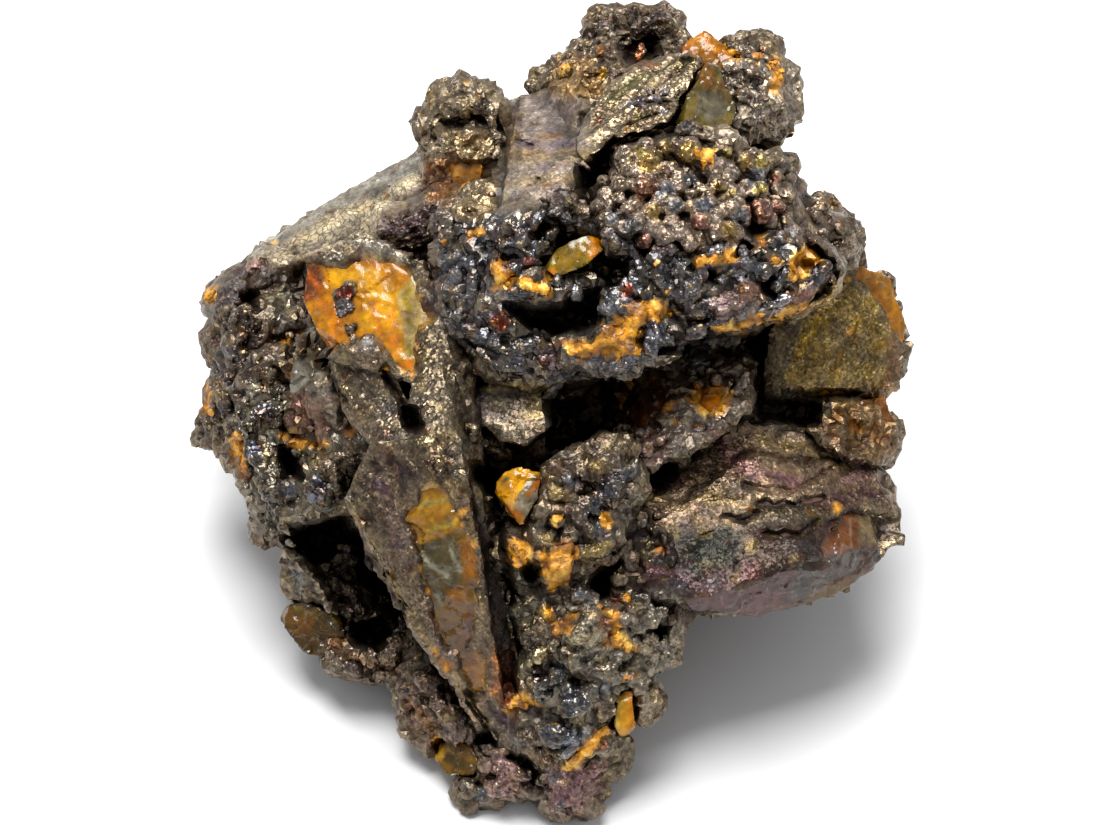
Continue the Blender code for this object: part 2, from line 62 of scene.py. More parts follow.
# Mesh detail
FORM_CELL = 0.5 * MM  # for finding what shows, before the fine skin is made
ROCK_CELL = 0.27 * MM
ROCK_TRIANGLES = 190000
CRYSTAL_CELL = 0.2 * MM
CHIPS = 16  # broken off each crystal
CHIP_SHARE = 0.09  # of the crystal's width, at most
SHARP_EDGE = math.radians(24.0)
COAT_THICKNESS = 0.45 * MM
WINDOW_DEPTH = 1.3 * MM

# How far in front of the rock's surface the middle of each kind of lump lies, in its own radii
LUMP_RISE = {"bead": 0.3, "lump": 0.2, "block": 0.1, "set_in": -0.95}
RIDGE_RISE = 0.1
FIRST_SEED = 11  # of the growths, one each

# The studio, in metres and watts: one soft light from the upper left, and an even sky
KEY_PLACE = (-0.03, 0.055, 0.41)
KEY_SIZE = 0.25
KEY_POWER = 2.8
SKY_STRENGTH = 0.5
FLOOR_REACH = 3.0
SENSOR_WIDTH = 36.0  # millimetres

QUARTZ_IOR = 1.544
GOLDEN_ANGLE = 2.39996  # radians; spreads directions evenly round a ball

# Lumps that grew on the rock, by their place on the picture in pixels: (x, y, radius) for a round one, or
# (x, y, long radius, short radius, turn in degrees). "bead" is a smooth ball, "lump" an uneven one, "block" a
# squarish one, and "set_in" lies almost level with what is round it. "ridge" is a row of lumps: its path and
# their radius. "cell" is the fineness of the growth's skin in mm, "granules" how thickly small grains lie on
# it, "fused" how many rounds of evening out run it together, and "relief" the height in mm of its swells,
# knobs and facets, where swells of a negative height are sharp ridges.
GROWTHS = {
    "botryoidal_cap": {
        "cell": 0.12,
        "granules": 0.8,
        "fused": 2,
        "relief": (0.2, 0.25, 0.1),
        "bead": [
            (628, 158, 11), (648, 160, 14), (664, 148, 9), (645, 146, 8), (688, 151, 15), (703, 159, 13),
            (673, 145, 9), (727, 152, 6), (745, 163, 12), (760, 161, 8), (757, 176, 10), (776, 176, 8),
            (775, 189, 7), (748, 170, 9), (632, 173, 10), (642, 174, 9), (622, 186, 9), (634, 186, 8),
            (646, 189, 12), (680, 180, 10), (690, 178, 7), (665, 190, 11), (676, 189, 9), (661, 203, 11),
            (673, 206, 11), (650, 213, 10), (636, 204, 9), (628, 211, 8), (712, 175, 10), (718, 186, 10),
            (726, 179, 8), (731, 191, 8), (700, 190, 8), (708, 193, 7), (745, 187, 9), (740, 194, 7),
            (760, 189, 8), (752, 193, 7), (710, 204, 9), (700, 206, 9), (690, 208, 9), (700, 220, 11),
            (717, 207, 6), (716, 216, 8), (730, 211, 11), (741, 216, 10), (761, 210, 12), (775, 207, 9),
            (626, 228, 10), (640, 223, 10), (655, 229, 10), (665, 236, 9), (645, 240, 9), (680, 231, 10),
            (672, 222, 8), (715, 231, 11), (726, 229, 9), (735, 233, 8), (690, 243, 9), (606, 196, 9),
            (600, 208, 9), (610, 207, 8), (613, 220, 9), (602, 222, 8), (609, 232, 7), (782, 165, 8),
            (787, 180, 8), (787, 196, 9), (690, 195, 7), (620, 200, 8), (662, 172, 10), (672, 168, 8),
            (655, 178, 8), (720, 165, 8), (733, 173, 8), (738, 205, 8), (770, 222, 8), (612, 172, 7),
            (604, 182, 7),
        ],
        "lump": [(690, 128, 14, 7, 5), (701, 136, 13, 5, 0), (683, 122, 8, 4, 20)],
    },
    "lumpy_belt": {
        "cell": 0.13,
        "granules": 0.3,
        "fused": 8,
        "relief": (-0.6, 0.12, 0.12),
        "bead": [
            (470, 237, 6), (607, 258, 4), (775, 260, 7), (503, 339, 2.5), (509, 337, 2.5), (762, 270, 11),
            (570, 420, 4), (700, 277, 10), (790, 279, 8),
        ],
        "lump": [
            (490, 236, 12), (505, 246, 11), (520, 240, 11), (510, 226, 10), (530, 222, 9), (538, 215, 8),
            (450, 240, 12), (462, 228, 8), (440, 226, 9), (452, 222, 8), (474, 224, 8), (475, 253, 8),
            (462, 258, 9), (470, 263, 8), (450, 292, 13), (465, 300, 12), (515, 268, 10), (530, 258, 11),
            (540, 248, 10), (548, 238, 9), (555, 230, 8), (517, 291, 12), (531, 291, 10), (545, 290, 9),
            (560, 283, 10), (576, 289, 9), (575, 268, 10), (590, 262, 9), (610, 245, 12), (625, 245, 11),
            (600, 272, 11), (618, 282, 13), (635, 285, 12), (612, 297, 13), (626, 306, 12), (608, 310, 9),
            (640, 262, 9), (655, 255, 10), (666, 250, 11), (660, 265, 11), (655, 277, 12), (667, 286, 12),
            (648, 292, 9), (690, 286, 11), (681, 296, 9), (500, 320, 15), (490, 310, 9), (512, 330, 10),
            (460, 315, 11), (467, 329, 10), (480, 334, 11), (494, 344, 11), (509, 351, 11), (524, 345, 11),
            (535, 335, 9), (540, 350, 9), (520, 365, 11), (505, 365, 9), (530, 376, 10), (545, 362, 10),
            (555, 361, 10), (551, 347, 9), (570, 352, 9), (583, 348, 10), (600, 345, 11), (612, 335, 12),
            (628, 328, 12), (625, 345, 10), (640, 315, 12), (655, 308, 9), (668, 312, 8), (625, 362, 11),
            (608, 364, 8), (592, 364, 8), (636, 356, 8), (655, 330, 12), (663, 338, 12), (650, 347, 9),
            (757, 250, 10), (770, 243, 8), (745, 265, 11), (735, 275, 8), (720, 282, 8), (730, 262, 9),
            (742, 252, 8), (790, 232, 14), (797, 245, 10), (780, 238, 8), (785, 272, 9), (778, 283, 9),
            (803, 281, 10), (818, 274, 9), (825, 264, 8), (815, 285, 8), (832, 277, 8), (810, 240, 8),
            (780, 302, 18, 7, 28), (765, 306, 8), (795, 297, 9), (808, 293, 9), (740, 312, 9), (757, 312, 8),
            (715, 322, 7), (735, 325, 7), (770, 318, 6), (705, 262, 10), (718, 258, 9), (500, 272, 13),
            (498, 286, 8), (527, 281, 8),
        ],
        "block": [
            (448, 262, 13), (458, 276, 10), (475, 282, 17, 9, 85), (692, 331, 16, 10, 0),
            (694, 310, 15, 11, 0), (726, 305, 17, 14, 10), (748, 291, 13, 11, -30), (706, 300, 8),
            (800, 296, 11, 9, 10),
        ],
        "ridge": [
            ([(447, 318), (455, 334), (470, 346), (490, 363), (510, 381), (527, 387), (546, 379)], 6),
            ([(545, 395), (555, 384), (568, 375), (592, 370), (618, 368)], 6),
            ([(478, 292), (480, 305), (474, 318)], 2),
            ([(715, 327), (735, 329), (760, 321), (790, 315), (806, 303)], 5),
            ([(706, 250), (715, 245), (727, 249)], 2.5), ([(600, 312), (618, 318), (634, 306)], 3),
            ([(545, 232), (560, 228), (588, 227)], 3),
        ],
    },
    "crown": {
        "cell": 0.13,
        "granules": 0.35,
        "fused": 6,
        "relief": (-0.55, 0.2, 0.18),
        "bead": [(608, 35, 3), (607, 45, 3), (605, 51, 3), (763, 84, 4), (440, 143, 3)],
        "lump": [
            (608, 20, 9), (604, 30, 9), (610, 42, 10), (602, 55, 9), (612, 60, 10), (605, 72, 9),
            (617, 75, 8), (632, 17, 10), (645, 24, 9), (638, 30, 8), (660, 19, 11), (664, 31, 10),
            (667, 45, 10), (674, 54, 8), (622, 45, 7), (582, 46, 8), (586, 57, 9), (570, 57, 8),
            (575, 68, 9), (590, 72, 10), (565, 72, 8), (552, 82, 7), (600, 85, 8), (545, 90, 6),
            (750, 70, 11), (762, 73, 9), (755, 83, 8), (745, 82, 8), (748, 92, 9), (776, 79, 15, 9, 80),
            (784, 92, 8), (781, 108, 9), (772, 122, 9), (760, 100, 9), (770, 106, 8), (755, 108, 8),
            (735, 72, 9), (730, 85, 8), (740, 98, 8), (728, 98, 7), (735, 112, 9), (750, 122, 10),
            (762, 118, 9), (725, 65, 7), (650, 92, 5), (655, 100, 6), (640, 103, 7), (632, 102, 5),
            (665, 92, 5), (648, 110, 6), (660, 112, 5), (455, 90, 10), (468, 93, 9), (484, 98, 8),
            (450, 104, 8), (462, 106, 9), (475, 103, 8), (487, 110, 8), (492, 125, 8), (497, 140, 8),
            (498, 155, 8), (440, 113, 6), (434, 126, 8), (430, 141, 8), (432, 155, 8), (555, 210, 13),
            (575, 205, 11), (560, 195, 10), (585, 213, 9), (570, 190, 7), (548, 200, 8), (565, 220, 9),
            (583, 225, 7), (833, 203, 7), (822, 208, 8), (812, 216, 8), (838, 228, 6), (842, 242, 6),
            (828, 222, 7), (820, 235, 8), (835, 245, 8), (480, 190, 7), (488, 198, 6), (476, 199, 6),
        ],
        "block": [(735, 50, 12, 10, 20), (752, 57, 11, 9, -20), (762, 62, 8), (640, 118, 16, 5, 20)],
        "ridge": [
            ([(641, 46), (640, 53), (636, 60)], 5), ([(580, 80), (592, 89), (606, 96)], 3),
            ([(570, 92), (585, 97), (600, 98)], 2.5), ([(696, 55), (690, 72), (681, 88), (673, 99)], 2),
            ([(676, 70), (668, 84), (662, 94)], 2.5), ([(668, 105), (661, 117), (656, 124)], 2),
            ([(583, 164), (590, 170), (600, 169)], 2.5), ([(441, 117), (460, 113), (482, 104)], 2.5),
            ([(462, 197), (480, 203), (496, 213)], 2), ([(460, 206), (478, 211), (492, 219)], 2),
            ([(464, 190), (474, 196), (482, 207)], 2), ([(430, 238), (445, 246), (455, 254)], 2.5),
        ],
    },
    "left_growth": {
        "cell": 0.14,
        "granules": 0.35,
        "fused": 6,
        "relief": (-0.5, 0.15, 0.2),
        "bead": [
            (240, 385, 5), (248, 388, 5), (255, 384, 5), (250, 396, 6), (342, 496, 5), (362, 437, 6),
            (356, 429, 4), (346, 421, 4), (457, 475, 6), (336, 497, 4),
        ],
        "lump": [
            (264, 262, 7), (253, 271, 7), (240, 281, 8), (237, 291, 11), (225, 299, 12), (213, 296, 8),
            (232, 308, 12), (225, 312, 9), (245, 316, 12), (254, 323, 9), (237, 326, 12), (230, 331, 9),
            (248, 336, 11), (234, 350, 10), (245, 351, 10), (251, 360, 9), (240, 367, 9), (232, 380, 9),
            (220, 388, 8), (228, 400, 12), (218, 415, 11), (212, 427, 10), (222, 436, 9), (262, 285, 9),
            (268, 274, 8), (262, 340, 9), (265, 355, 8), (272, 345, 8), (240, 400, 8), (232, 415, 9),
            (250, 380, 8), (260, 372, 8), (270, 378, 9), (278, 390, 9), (265, 392, 8), (246, 412, 12),
            (262, 411, 11), (256, 426, 13), (246, 430, 9), (240, 417, 8), (240, 438, 8), (243, 456, 8),
            (250, 474, 7), (253, 449, 12), (252, 463, 11), (261, 456, 11), (266, 471, 9), (260, 479, 8),
            (267, 487, 8), (273, 405, 8), (280, 415, 9), (285, 400, 8), (277, 425, 7), (300, 452, 8),
            (315, 455, 8), (330, 465, 12), (320, 470, 8), (335, 475, 8), (318, 492, 14), (325, 506, 8),
            (335, 486, 8), (333, 505, 9), (276, 486, 10), (290, 489, 11), (272, 496, 8), (283, 498, 8),
            (269, 506, 8), (280, 511, 11), (273, 514, 8), (291, 508, 8), (274, 526, 12), (285, 525, 9),
            (305, 515, 8), (315, 518, 5), (345, 456, 11, 6, 0), (362, 457, 12, 6, 0), (330, 582, 10),
            (290, 637, 6), (324, 622, 7), (329, 607, 6), (300, 600, 5), (342, 592, 10), (352, 597, 11),
            (340, 571, 8), (350, 582, 8), (360, 612, 9), (345, 612, 8), (350, 560, 7), (345, 548, 6),
            (316, 644, 10), (338, 640, 14), (355, 667, 7), (372, 656, 8), (392, 655, 12), (400, 640, 12),
            (405, 625, 8), (400, 612, 6), (385, 600, 7), (345, 660, 8), (330, 653, 7), (388, 232, 9),
            (384, 222, 7), (400, 228, 12), (415, 222, 11), (430, 212, 10), (440, 207, 8), (425, 235, 10),
            (410, 240, 10), (395, 243, 8), (438, 222, 9), (430, 465, 7), (438, 470, 6), (434, 458, 5),
            (313, 376, 5), (317, 388, 4),
        ],
        "block": [(252, 268, 9, 6, 10), (330, 462, 10, 8, -20), (300, 352, 7), (290, 340, 8, 6, 60)],
        "set_in": [
            (346, 294, 13), (346, 310, 14), (351, 328, 7), (356, 342, 7), (367, 343, 9), (340, 352, 9),
        ],
        "ridge": [
            ([(268, 430), (272, 445), (273, 460), (281, 472)], 4),
            ([(345, 668), (370, 676), (395, 672)], 5), ([(398, 610), (405, 625)], 3),
            ([(311, 360), (316, 375), (322, 392), (330, 415), (336, 442)], 2),
            ([(284, 546), (291, 562), (302, 588), (312, 607)], 1.6),
            ([(283, 268), (292, 288), (304, 315), (321, 351)], 1.6),
            ([(330, 260), (345, 257), (358, 245), (370, 242), (385, 250), (403, 258), (416, 268)], 3),
            ([(345, 470), (352, 503), (366, 532), (396, 592), (440, 656), (470, 701), (498, 740)], 2.2),
            ([(404, 440), (418, 441), (428, 430), (424, 412), (420, 400)], 2.2),
            ([(402, 452), (418, 470)], 2),
        ],
    },
    "lower_growth": {
        "cell": 0.14,
        "granules": 0.4,
        "fused": 5,
        "relief": (-0.4, 0.25, 0.15),
        "bead": [
            (540, 655, 9), (530, 662, 5), (570, 640, 4), (578, 643, 4), (588, 643, 4), (565, 650, 5),
            (560, 657, 4), (552, 647, 5), (575, 655, 6), (555, 640, 5), (596, 640, 5), (582, 636, 4),
            (568, 660, 4), (573, 664, 9), (590, 665, 9), (637, 625, 9), (557, 518, 8), (609, 448, 4),
            (615, 446, 4), (614, 453, 4), (621, 454, 4), (643, 436, 3), (708, 373, 7), (645, 698, 4),
            (645, 708, 4), (643, 718, 4), (646, 690, 4),
        ],
        "lump": [
            (430, 680, 13), (415, 690, 11), (408, 704, 8), (450, 712, 14), (460, 723, 13), (440, 700, 10),
            (425, 715, 9), (434, 732, 7), (420, 700, 8), (455, 742, 10), (470, 742, 8), (460, 760, 10),
            (473, 757, 8), (480, 770, 9), (498, 765, 9), (512, 768, 11), (522, 775, 9), (505, 782, 13),
            (517, 786, 8), (490, 788, 10), (472, 790, 9), (466, 783, 7), (500, 752, 8), (488, 750, 7),
            (480, 796, 6), (495, 797, 6), (548, 760, 10), (560, 780, 12), (572, 788, 11), (585, 775, 10),
            (594, 765, 8), (560, 800, 11), (555, 790, 10), (574, 798, 9), (547, 772, 8), (540, 780, 6),
            (570, 760, 9), (585, 750, 9), (600, 745, 8), (608, 735, 7), (521, 672, 6),
            (545, 680, 20, 13, 20), (532, 678, 9), (556, 676, 10), (540, 692, 9), (575, 700, 19, 13, 50),
            (566, 690, 8), (585, 702, 9), (556, 733, 21, 14, -15), (545, 725, 9), (570, 725, 9),
            (525, 735, 8), (532, 745, 8), (580, 652, 6), (600, 655, 6), (606, 670, 10), (595, 678, 6),
            (612, 663, 7), (555, 592, 9), (580, 593, 14), (567, 603, 8), (595, 600, 9), (590, 616, 13),
            (583, 632, 12), (574, 612, 8), (603, 624, 8), (547, 615, 6), (560, 628, 8), (612, 606, 7),
            (620, 618, 8), (615, 638, 10), (625, 646, 7), (640, 602, 15), (635, 612, 12), (648, 618, 10),
            (628, 598, 9), (645, 638, 8), (652, 612, 7), (664, 611, 7), (672, 620, 6), (673, 632, 5),
            (666, 641, 6), (652, 640, 6), (662, 650, 12), (655, 645, 6), (646, 664, 4), (634, 667, 3),
            (620, 655, 12, 6, 0), (608, 652, 6), (602, 700, 9), (606, 688, 9), (615, 678, 9),
            (628, 678, 9), (638, 687, 8), (640, 726, 4), (604, 712, 8), (612, 726, 8), (555, 470, 11),
            (567, 480, 9), (555, 492, 9), (546, 485, 8), (567, 465, 8), (570, 497, 7), (548, 508, 6),
            (565, 510, 6), (553, 533, 4), (605, 557, 11), (585, 566, 9), (600, 545, 9), (590, 505, 12),
            (580, 515, 9), (600, 520, 9), (590, 530, 9), (610, 500, 10), (620, 448, 12), (595, 450, 11),
            (590, 475, 12), (612, 485, 14), (630, 470, 15, 9, 70), (640, 452, 10), (600, 495, 9),
            (625, 492, 9), (645, 500, 10), (640, 520, 9), (655, 530, 8), (650, 545, 7), (665, 540, 9),
            (670, 555, 9), (655, 565, 10), (645, 575, 8), (630, 560, 10), (625, 545, 8), (620, 580, 7),
            (690, 370, 8), (697, 360, 7), (716, 362, 8), (730, 370, 11), (742, 380, 9), (735, 392, 7),
            (683, 382, 5), (672, 392, 7), (665, 383, 6), (700, 383, 8), (717, 380, 8), (610, 428, 8),
            (625, 430, 8), (640, 432, 6), (517, 505, 6), (524, 500, 5), (515, 512, 5), (528, 520, 7),
            (535, 515, 5), (520, 521, 5), (520, 560, 8), (516, 548, 8),
        ],
        "block": [
            (590, 551, 17, 12, 10), (605, 466, 19, 16, 30), (545, 538, 10, 5, -10), (660, 575, 10, 6, 20),
            (508, 700, 9), (522, 702, 10, 8, -30), (560, 563, 13, 11, 0), (560, 548, 13, 6, 15),
            (442, 752, 8),
        ],
        "ridge": [
            ([(470, 428), (485, 445), (505, 456)], 7), ([(640, 447), (655, 442), (672, 436)], 5),
            ([(603, 724), (595, 740), (580, 757), (569, 771)], 5),
            ([(590, 606), (612, 607), (621, 620), (612, 640)], 5),
            ([(700, 534), (713, 529), (727, 523)], 1.5),
            ([(705, 576), (730, 565), (743, 558), (744, 545)], 1.8),
            ([(508, 592), (508, 620), (514, 642), (518, 668)], 2.2), ([(545, 741), (575, 739)], 1.5),
            ([(655, 516), (682, 510), (705, 500), (735, 497), (755, 498)], 4),
            ([(480, 745), (496, 753)], 3), ([(843, 500), (838, 522), (826, 540)], 2),
            ([(852, 510), (870, 514), (888, 520)], 1.8),
        ],
    },
}

# Outlines on the picture, in pixels, that more than one list takes
CAP = [(590, 150), (640, 130), (740, 135), (790, 180), (800, 240), (740, 262), (600, 255)]
COLUMN = [(500, 92), (590, 92), (592, 190), (498, 215)]
SLANTED_PLATE = [(575, 165), (577, 128), (600, 95), (640, 58), (708, 50), (690, 100), (660, 132)]
BACK_PLATE = [(205, 215), (425, 150), (420, 205), (300, 262), (205, 330)]
UNDER_WEDGE = [(320, 352), (405, 352), (408, 440), (350, 450)]
FLANK = [(395, 318), (450, 318), (486, 478), (400, 445)]
BLADE = [(340, 440), (430, 438), (470, 480), (520, 640), (508, 745), (440, 655), (345, 500)]
BLADE_FOOT = [(485, 640), (521, 640), (521, 756), (485, 756)]
BLADE_LOW_WINDOW = [(457, 657), (481, 650), (487, 662), (485, 690), (478, 698), (466, 682)]
SHIELD = [(478, 386), (552, 386), (552, 430), (520, 450)]
OLIVE_PLATE = [(757, 372), (776, 330), (835, 275), (866, 262), (906, 322), (890, 392), (820, 398)]
BACK_PLATE_MOSAIC = [
    [(250, 262), (300, 232), (345, 205), (385, 188), (425, 165), (430, 180), (380, 215), (372, 240),
     (320, 250), (285, 262), (262, 268)],
]

# A patch on the picture is an outline, a round spot (x, y, radius) or a stroke (path, width), in pixels.
# Hollows and cracks: a patch and its depth in mm
HOLLOWS = [
    ([(506, 304), (540, 308), (562, 305), (582, 294), (598, 290), (597, 322), (575, 332), (545, 328),
      (522, 321)], 3.0),
    ([(403, 408), (414, 409), (421, 425), (417, 431), (404, 425)], 3.0),
    ([(240, 290), (255, 292), (255, 305), (238, 302)], 3.0),
    ([(282, 449), (296, 453), (302, 478), (286, 474)], 4.0),
    ([(440, 119), (465, 115), (485, 107), (497, 118), (500, 130), (488, 129), (460, 126),
      (447, 129)], 1.6),
    ([(580, 166), (600, 170), (606, 182), (595, 195), (592, 213), (586, 213), (582, 195)], 3.5),
    ([(614, 140), (640, 137), (672, 126), (668, 134), (640, 146), (622, 150), (610, 164),
      (592, 167)], 4.0),
    ([(622, 42), (655, 40), (658, 58), (640, 62), (625, 55)], 4.0),
    ([(690, 268), (712, 270), (718, 280), (705, 278)], 2.0),
    ([(763, 280), (776, 282), (775, 293), (765, 294)], 3.0),
    ([(292, 528), (345, 520), (368, 548), (390, 575), (404, 605), (402, 625), (385, 605), (362, 575),
      (345, 545), (320, 560), (302, 550)], 5.0),
    ([(352, 626), (385, 620), (392, 635), (378, 648), (354, 642)], 5.0),
    ([(545, 392), (600, 380), (612, 400), (608, 425), (580, 440), (550, 445), (552, 420)], 3.0),
    ([(640, 340), (765, 330), (760, 398), (815, 402), (818, 425), (760, 415), (748, 372), (690, 352),
      (655, 352)], 2.5),
    ([(472, 462), (495, 470), (490, 484), (474, 480)], 3.0),
    ([(801, 262), (814, 262), (812, 268), (803, 269)], 1.5), ((693, 186, 6), 2.0), ((756, 226, 9), 2.5),
    ((543, 232, 6), 2.5), ((488, 742, 8), 3.0), ((612, 562, 6), 3.0), ((602, 580, 9), 4.0),
    ((660, 630, 7), 3.0), ((600, 590, 6), 3.0), ((530, 570, 7), 3.0), ((657, 428, 4), 1.5),
    ((745, 247, 5), 1.5), ((540, 179, 2.5), 0.8), ((583, 120, 6), 0.6),
    (([(648, 250), (665, 246), (684, 240)], 9), 2.5), (([(812, 246), (832, 264)], 5), 2.5),
    (([(589, 162), (607, 153)], 4), 1.5), (([(520, 141), (532, 147)], 3), 0.8),
    (([(518, 100), (519, 160)], 2.5), 0.6), (([(467, 692), (480, 716), (496, 738)], 5), 1.2),
    (([(505, 757), (525, 760), (532, 776)], 5), 2.0), (([(322, 352), (334, 378), (345, 400)], 4), 1.3),
    (([(383, 368), (392, 385), (402, 402)], 4), 1.5), (([(727, 516), (745, 518), (757, 512)], 4), 0.9),
    (([(760, 502), (800, 505), (822, 497)], 5), 0.8), (([(768, 534), (800, 533), (815, 523)], 6), 0.9),
    (([(784, 580), (796, 574)], 5), 1.6), (([(640, 601), (660, 606), (672, 606)], 4), 1.5),
    (([(478, 470), (500, 520), (506, 560), (512, 600)], 5), 1.5), (([(660, 100), (671, 103)], 3), 1.0),
    (([(683, 60), (690, 58)], 3), 0.8), (([(455, 320), (448, 300)], 3), 0.8),
    (([(703, 302), (706, 320), (704, 338)], 3), 1.2), (([(760, 450), (800, 462), (845, 455)], 4), 0.5),
    (([(745, 485), (790, 492), (830, 470)], 4), 0.6), (([(690, 495), (720, 470), (750, 450)], 5), 0.5),
    (([(790, 395), (835, 393), (870, 398)], 5), 2.0), (([(806, 300), (826, 290), (835, 272)], 4), 1.5),
]

# Growth lines along a crystal's coat: (patch, direction in degrees, spacing in pixels, height in mm)
STRIAE = [
    (SLANTED_PLATE, 38, 5.0, 0.30),
    ([(519, 98), (584, 98), (586, 195), (500, 212)], 4, 9.0, 0.16),
    ([(460, 176), (498, 176), (496, 226), (450, 224)], -25, 5.0, 0.30),
    (FLANK, -70, 8.0, 0.20),
    (BLADE, -58, 7.0, 0.14),
    (BACK_PLATE, 30, 12.0, 0.16),
    ([(640, 490), (745, 425), (865, 450), (900, 505), (760, 560), (640, 560)], 16, 10.0, 0.38),
    (OLIVE_PLATE, 62, 10.0, 0.26),
    (BLADE_FOOT, -85, 6.0, 0.16),
    (SHIELD, 12, 9.0, 0.22),
]

# Coated faces that stayed plain, and where a quartz crystal shows through its coat
PLAIN = [
    COLUMN,
    SLANTED_PLATE,
    FLANK,
    UNDER_WEDGE,
    [(470, 380), (555, 380), (555, 465), (470, 465)],
    [(795, 188), (845, 188), (870, 268), (790, 245)],
    BLADE_FOOT,
    BACK_PLATE,
    BLADE,
    [(615, 560), (660, 480), (745, 425), (875, 465), (900, 515), (880, 570), (760, 625), (640, 610)],
    OLIVE_PLATE,
    [(285, 262), (330, 255), (372, 243), (418, 269), (446, 321), (419, 380), (384, 352), (326, 353)],
]

WINDOWS = {
    "quartz_wedge_left": [
        [(262, 258), (290, 256), (330, 264), (345, 262), (358, 252), (368, 250), (395, 260), (412, 262),
         (418, 275), (415, 290), (430, 305), (440, 320), (420, 327), (418, 377), (405, 378), (395, 366),
         (384, 350), (375, 338), (362, 336), (352, 348), (338, 345), (325, 356), (300, 345)],
    ],
    "quartz_blade_front": [
        [(403, 517), (427, 482), (445, 483), (453, 495), (463, 505), (463, 520), (472, 535), (478, 560),
         (480, 585), (478, 600), (470, 640), (462, 652), (445, 652), (438, 640), (433, 612), (424, 590),
         (419, 560), (412, 530)],
        BLADE_LOW_WINDOW,
    ],
    "quartz_crystal_right": [
        [(640, 612), (700, 600), (760, 583), (800, 566), (840, 553), (897, 541), (930, 550), (880, 610),
         (800, 640), (740, 650), (680, 645), (645, 635)],
        [(822, 548), (832, 522), (850, 509), (895, 514), (925, 530), (915, 548), (840, 553)],
    ],
    "quartz_plate_right": [
        [(862, 250), (885, 255), (925, 322), (905, 345), (893, 330), (886, 305), (870, 288), (856, 276)],
    ],
    "quartz_in_hollow": [
        [(612, 402), (622, 380), (640, 355), (667, 350), (668, 380), (655, 420), (638, 432), (612, 420)],
        (714, 402, 12), (735, 388, 6),
    ],
    "quartz_small_right": [
        [(872, 390), (895, 388), (905, 418), (886, 424)], (853, 426, 9),
    ],
    "quartz_prism_left": [
        [(292, 328), (312, 330), (322, 345), (322, 390), (303, 386), (286, 395), (280, 370)],
        [(277, 430), (327, 438), (325, 448), (280, 442)],
    ],
    "quartz_under_knob": [
        [(448, 158), (492, 160), (492, 186), (478, 192), (450, 192)],
    ],
}

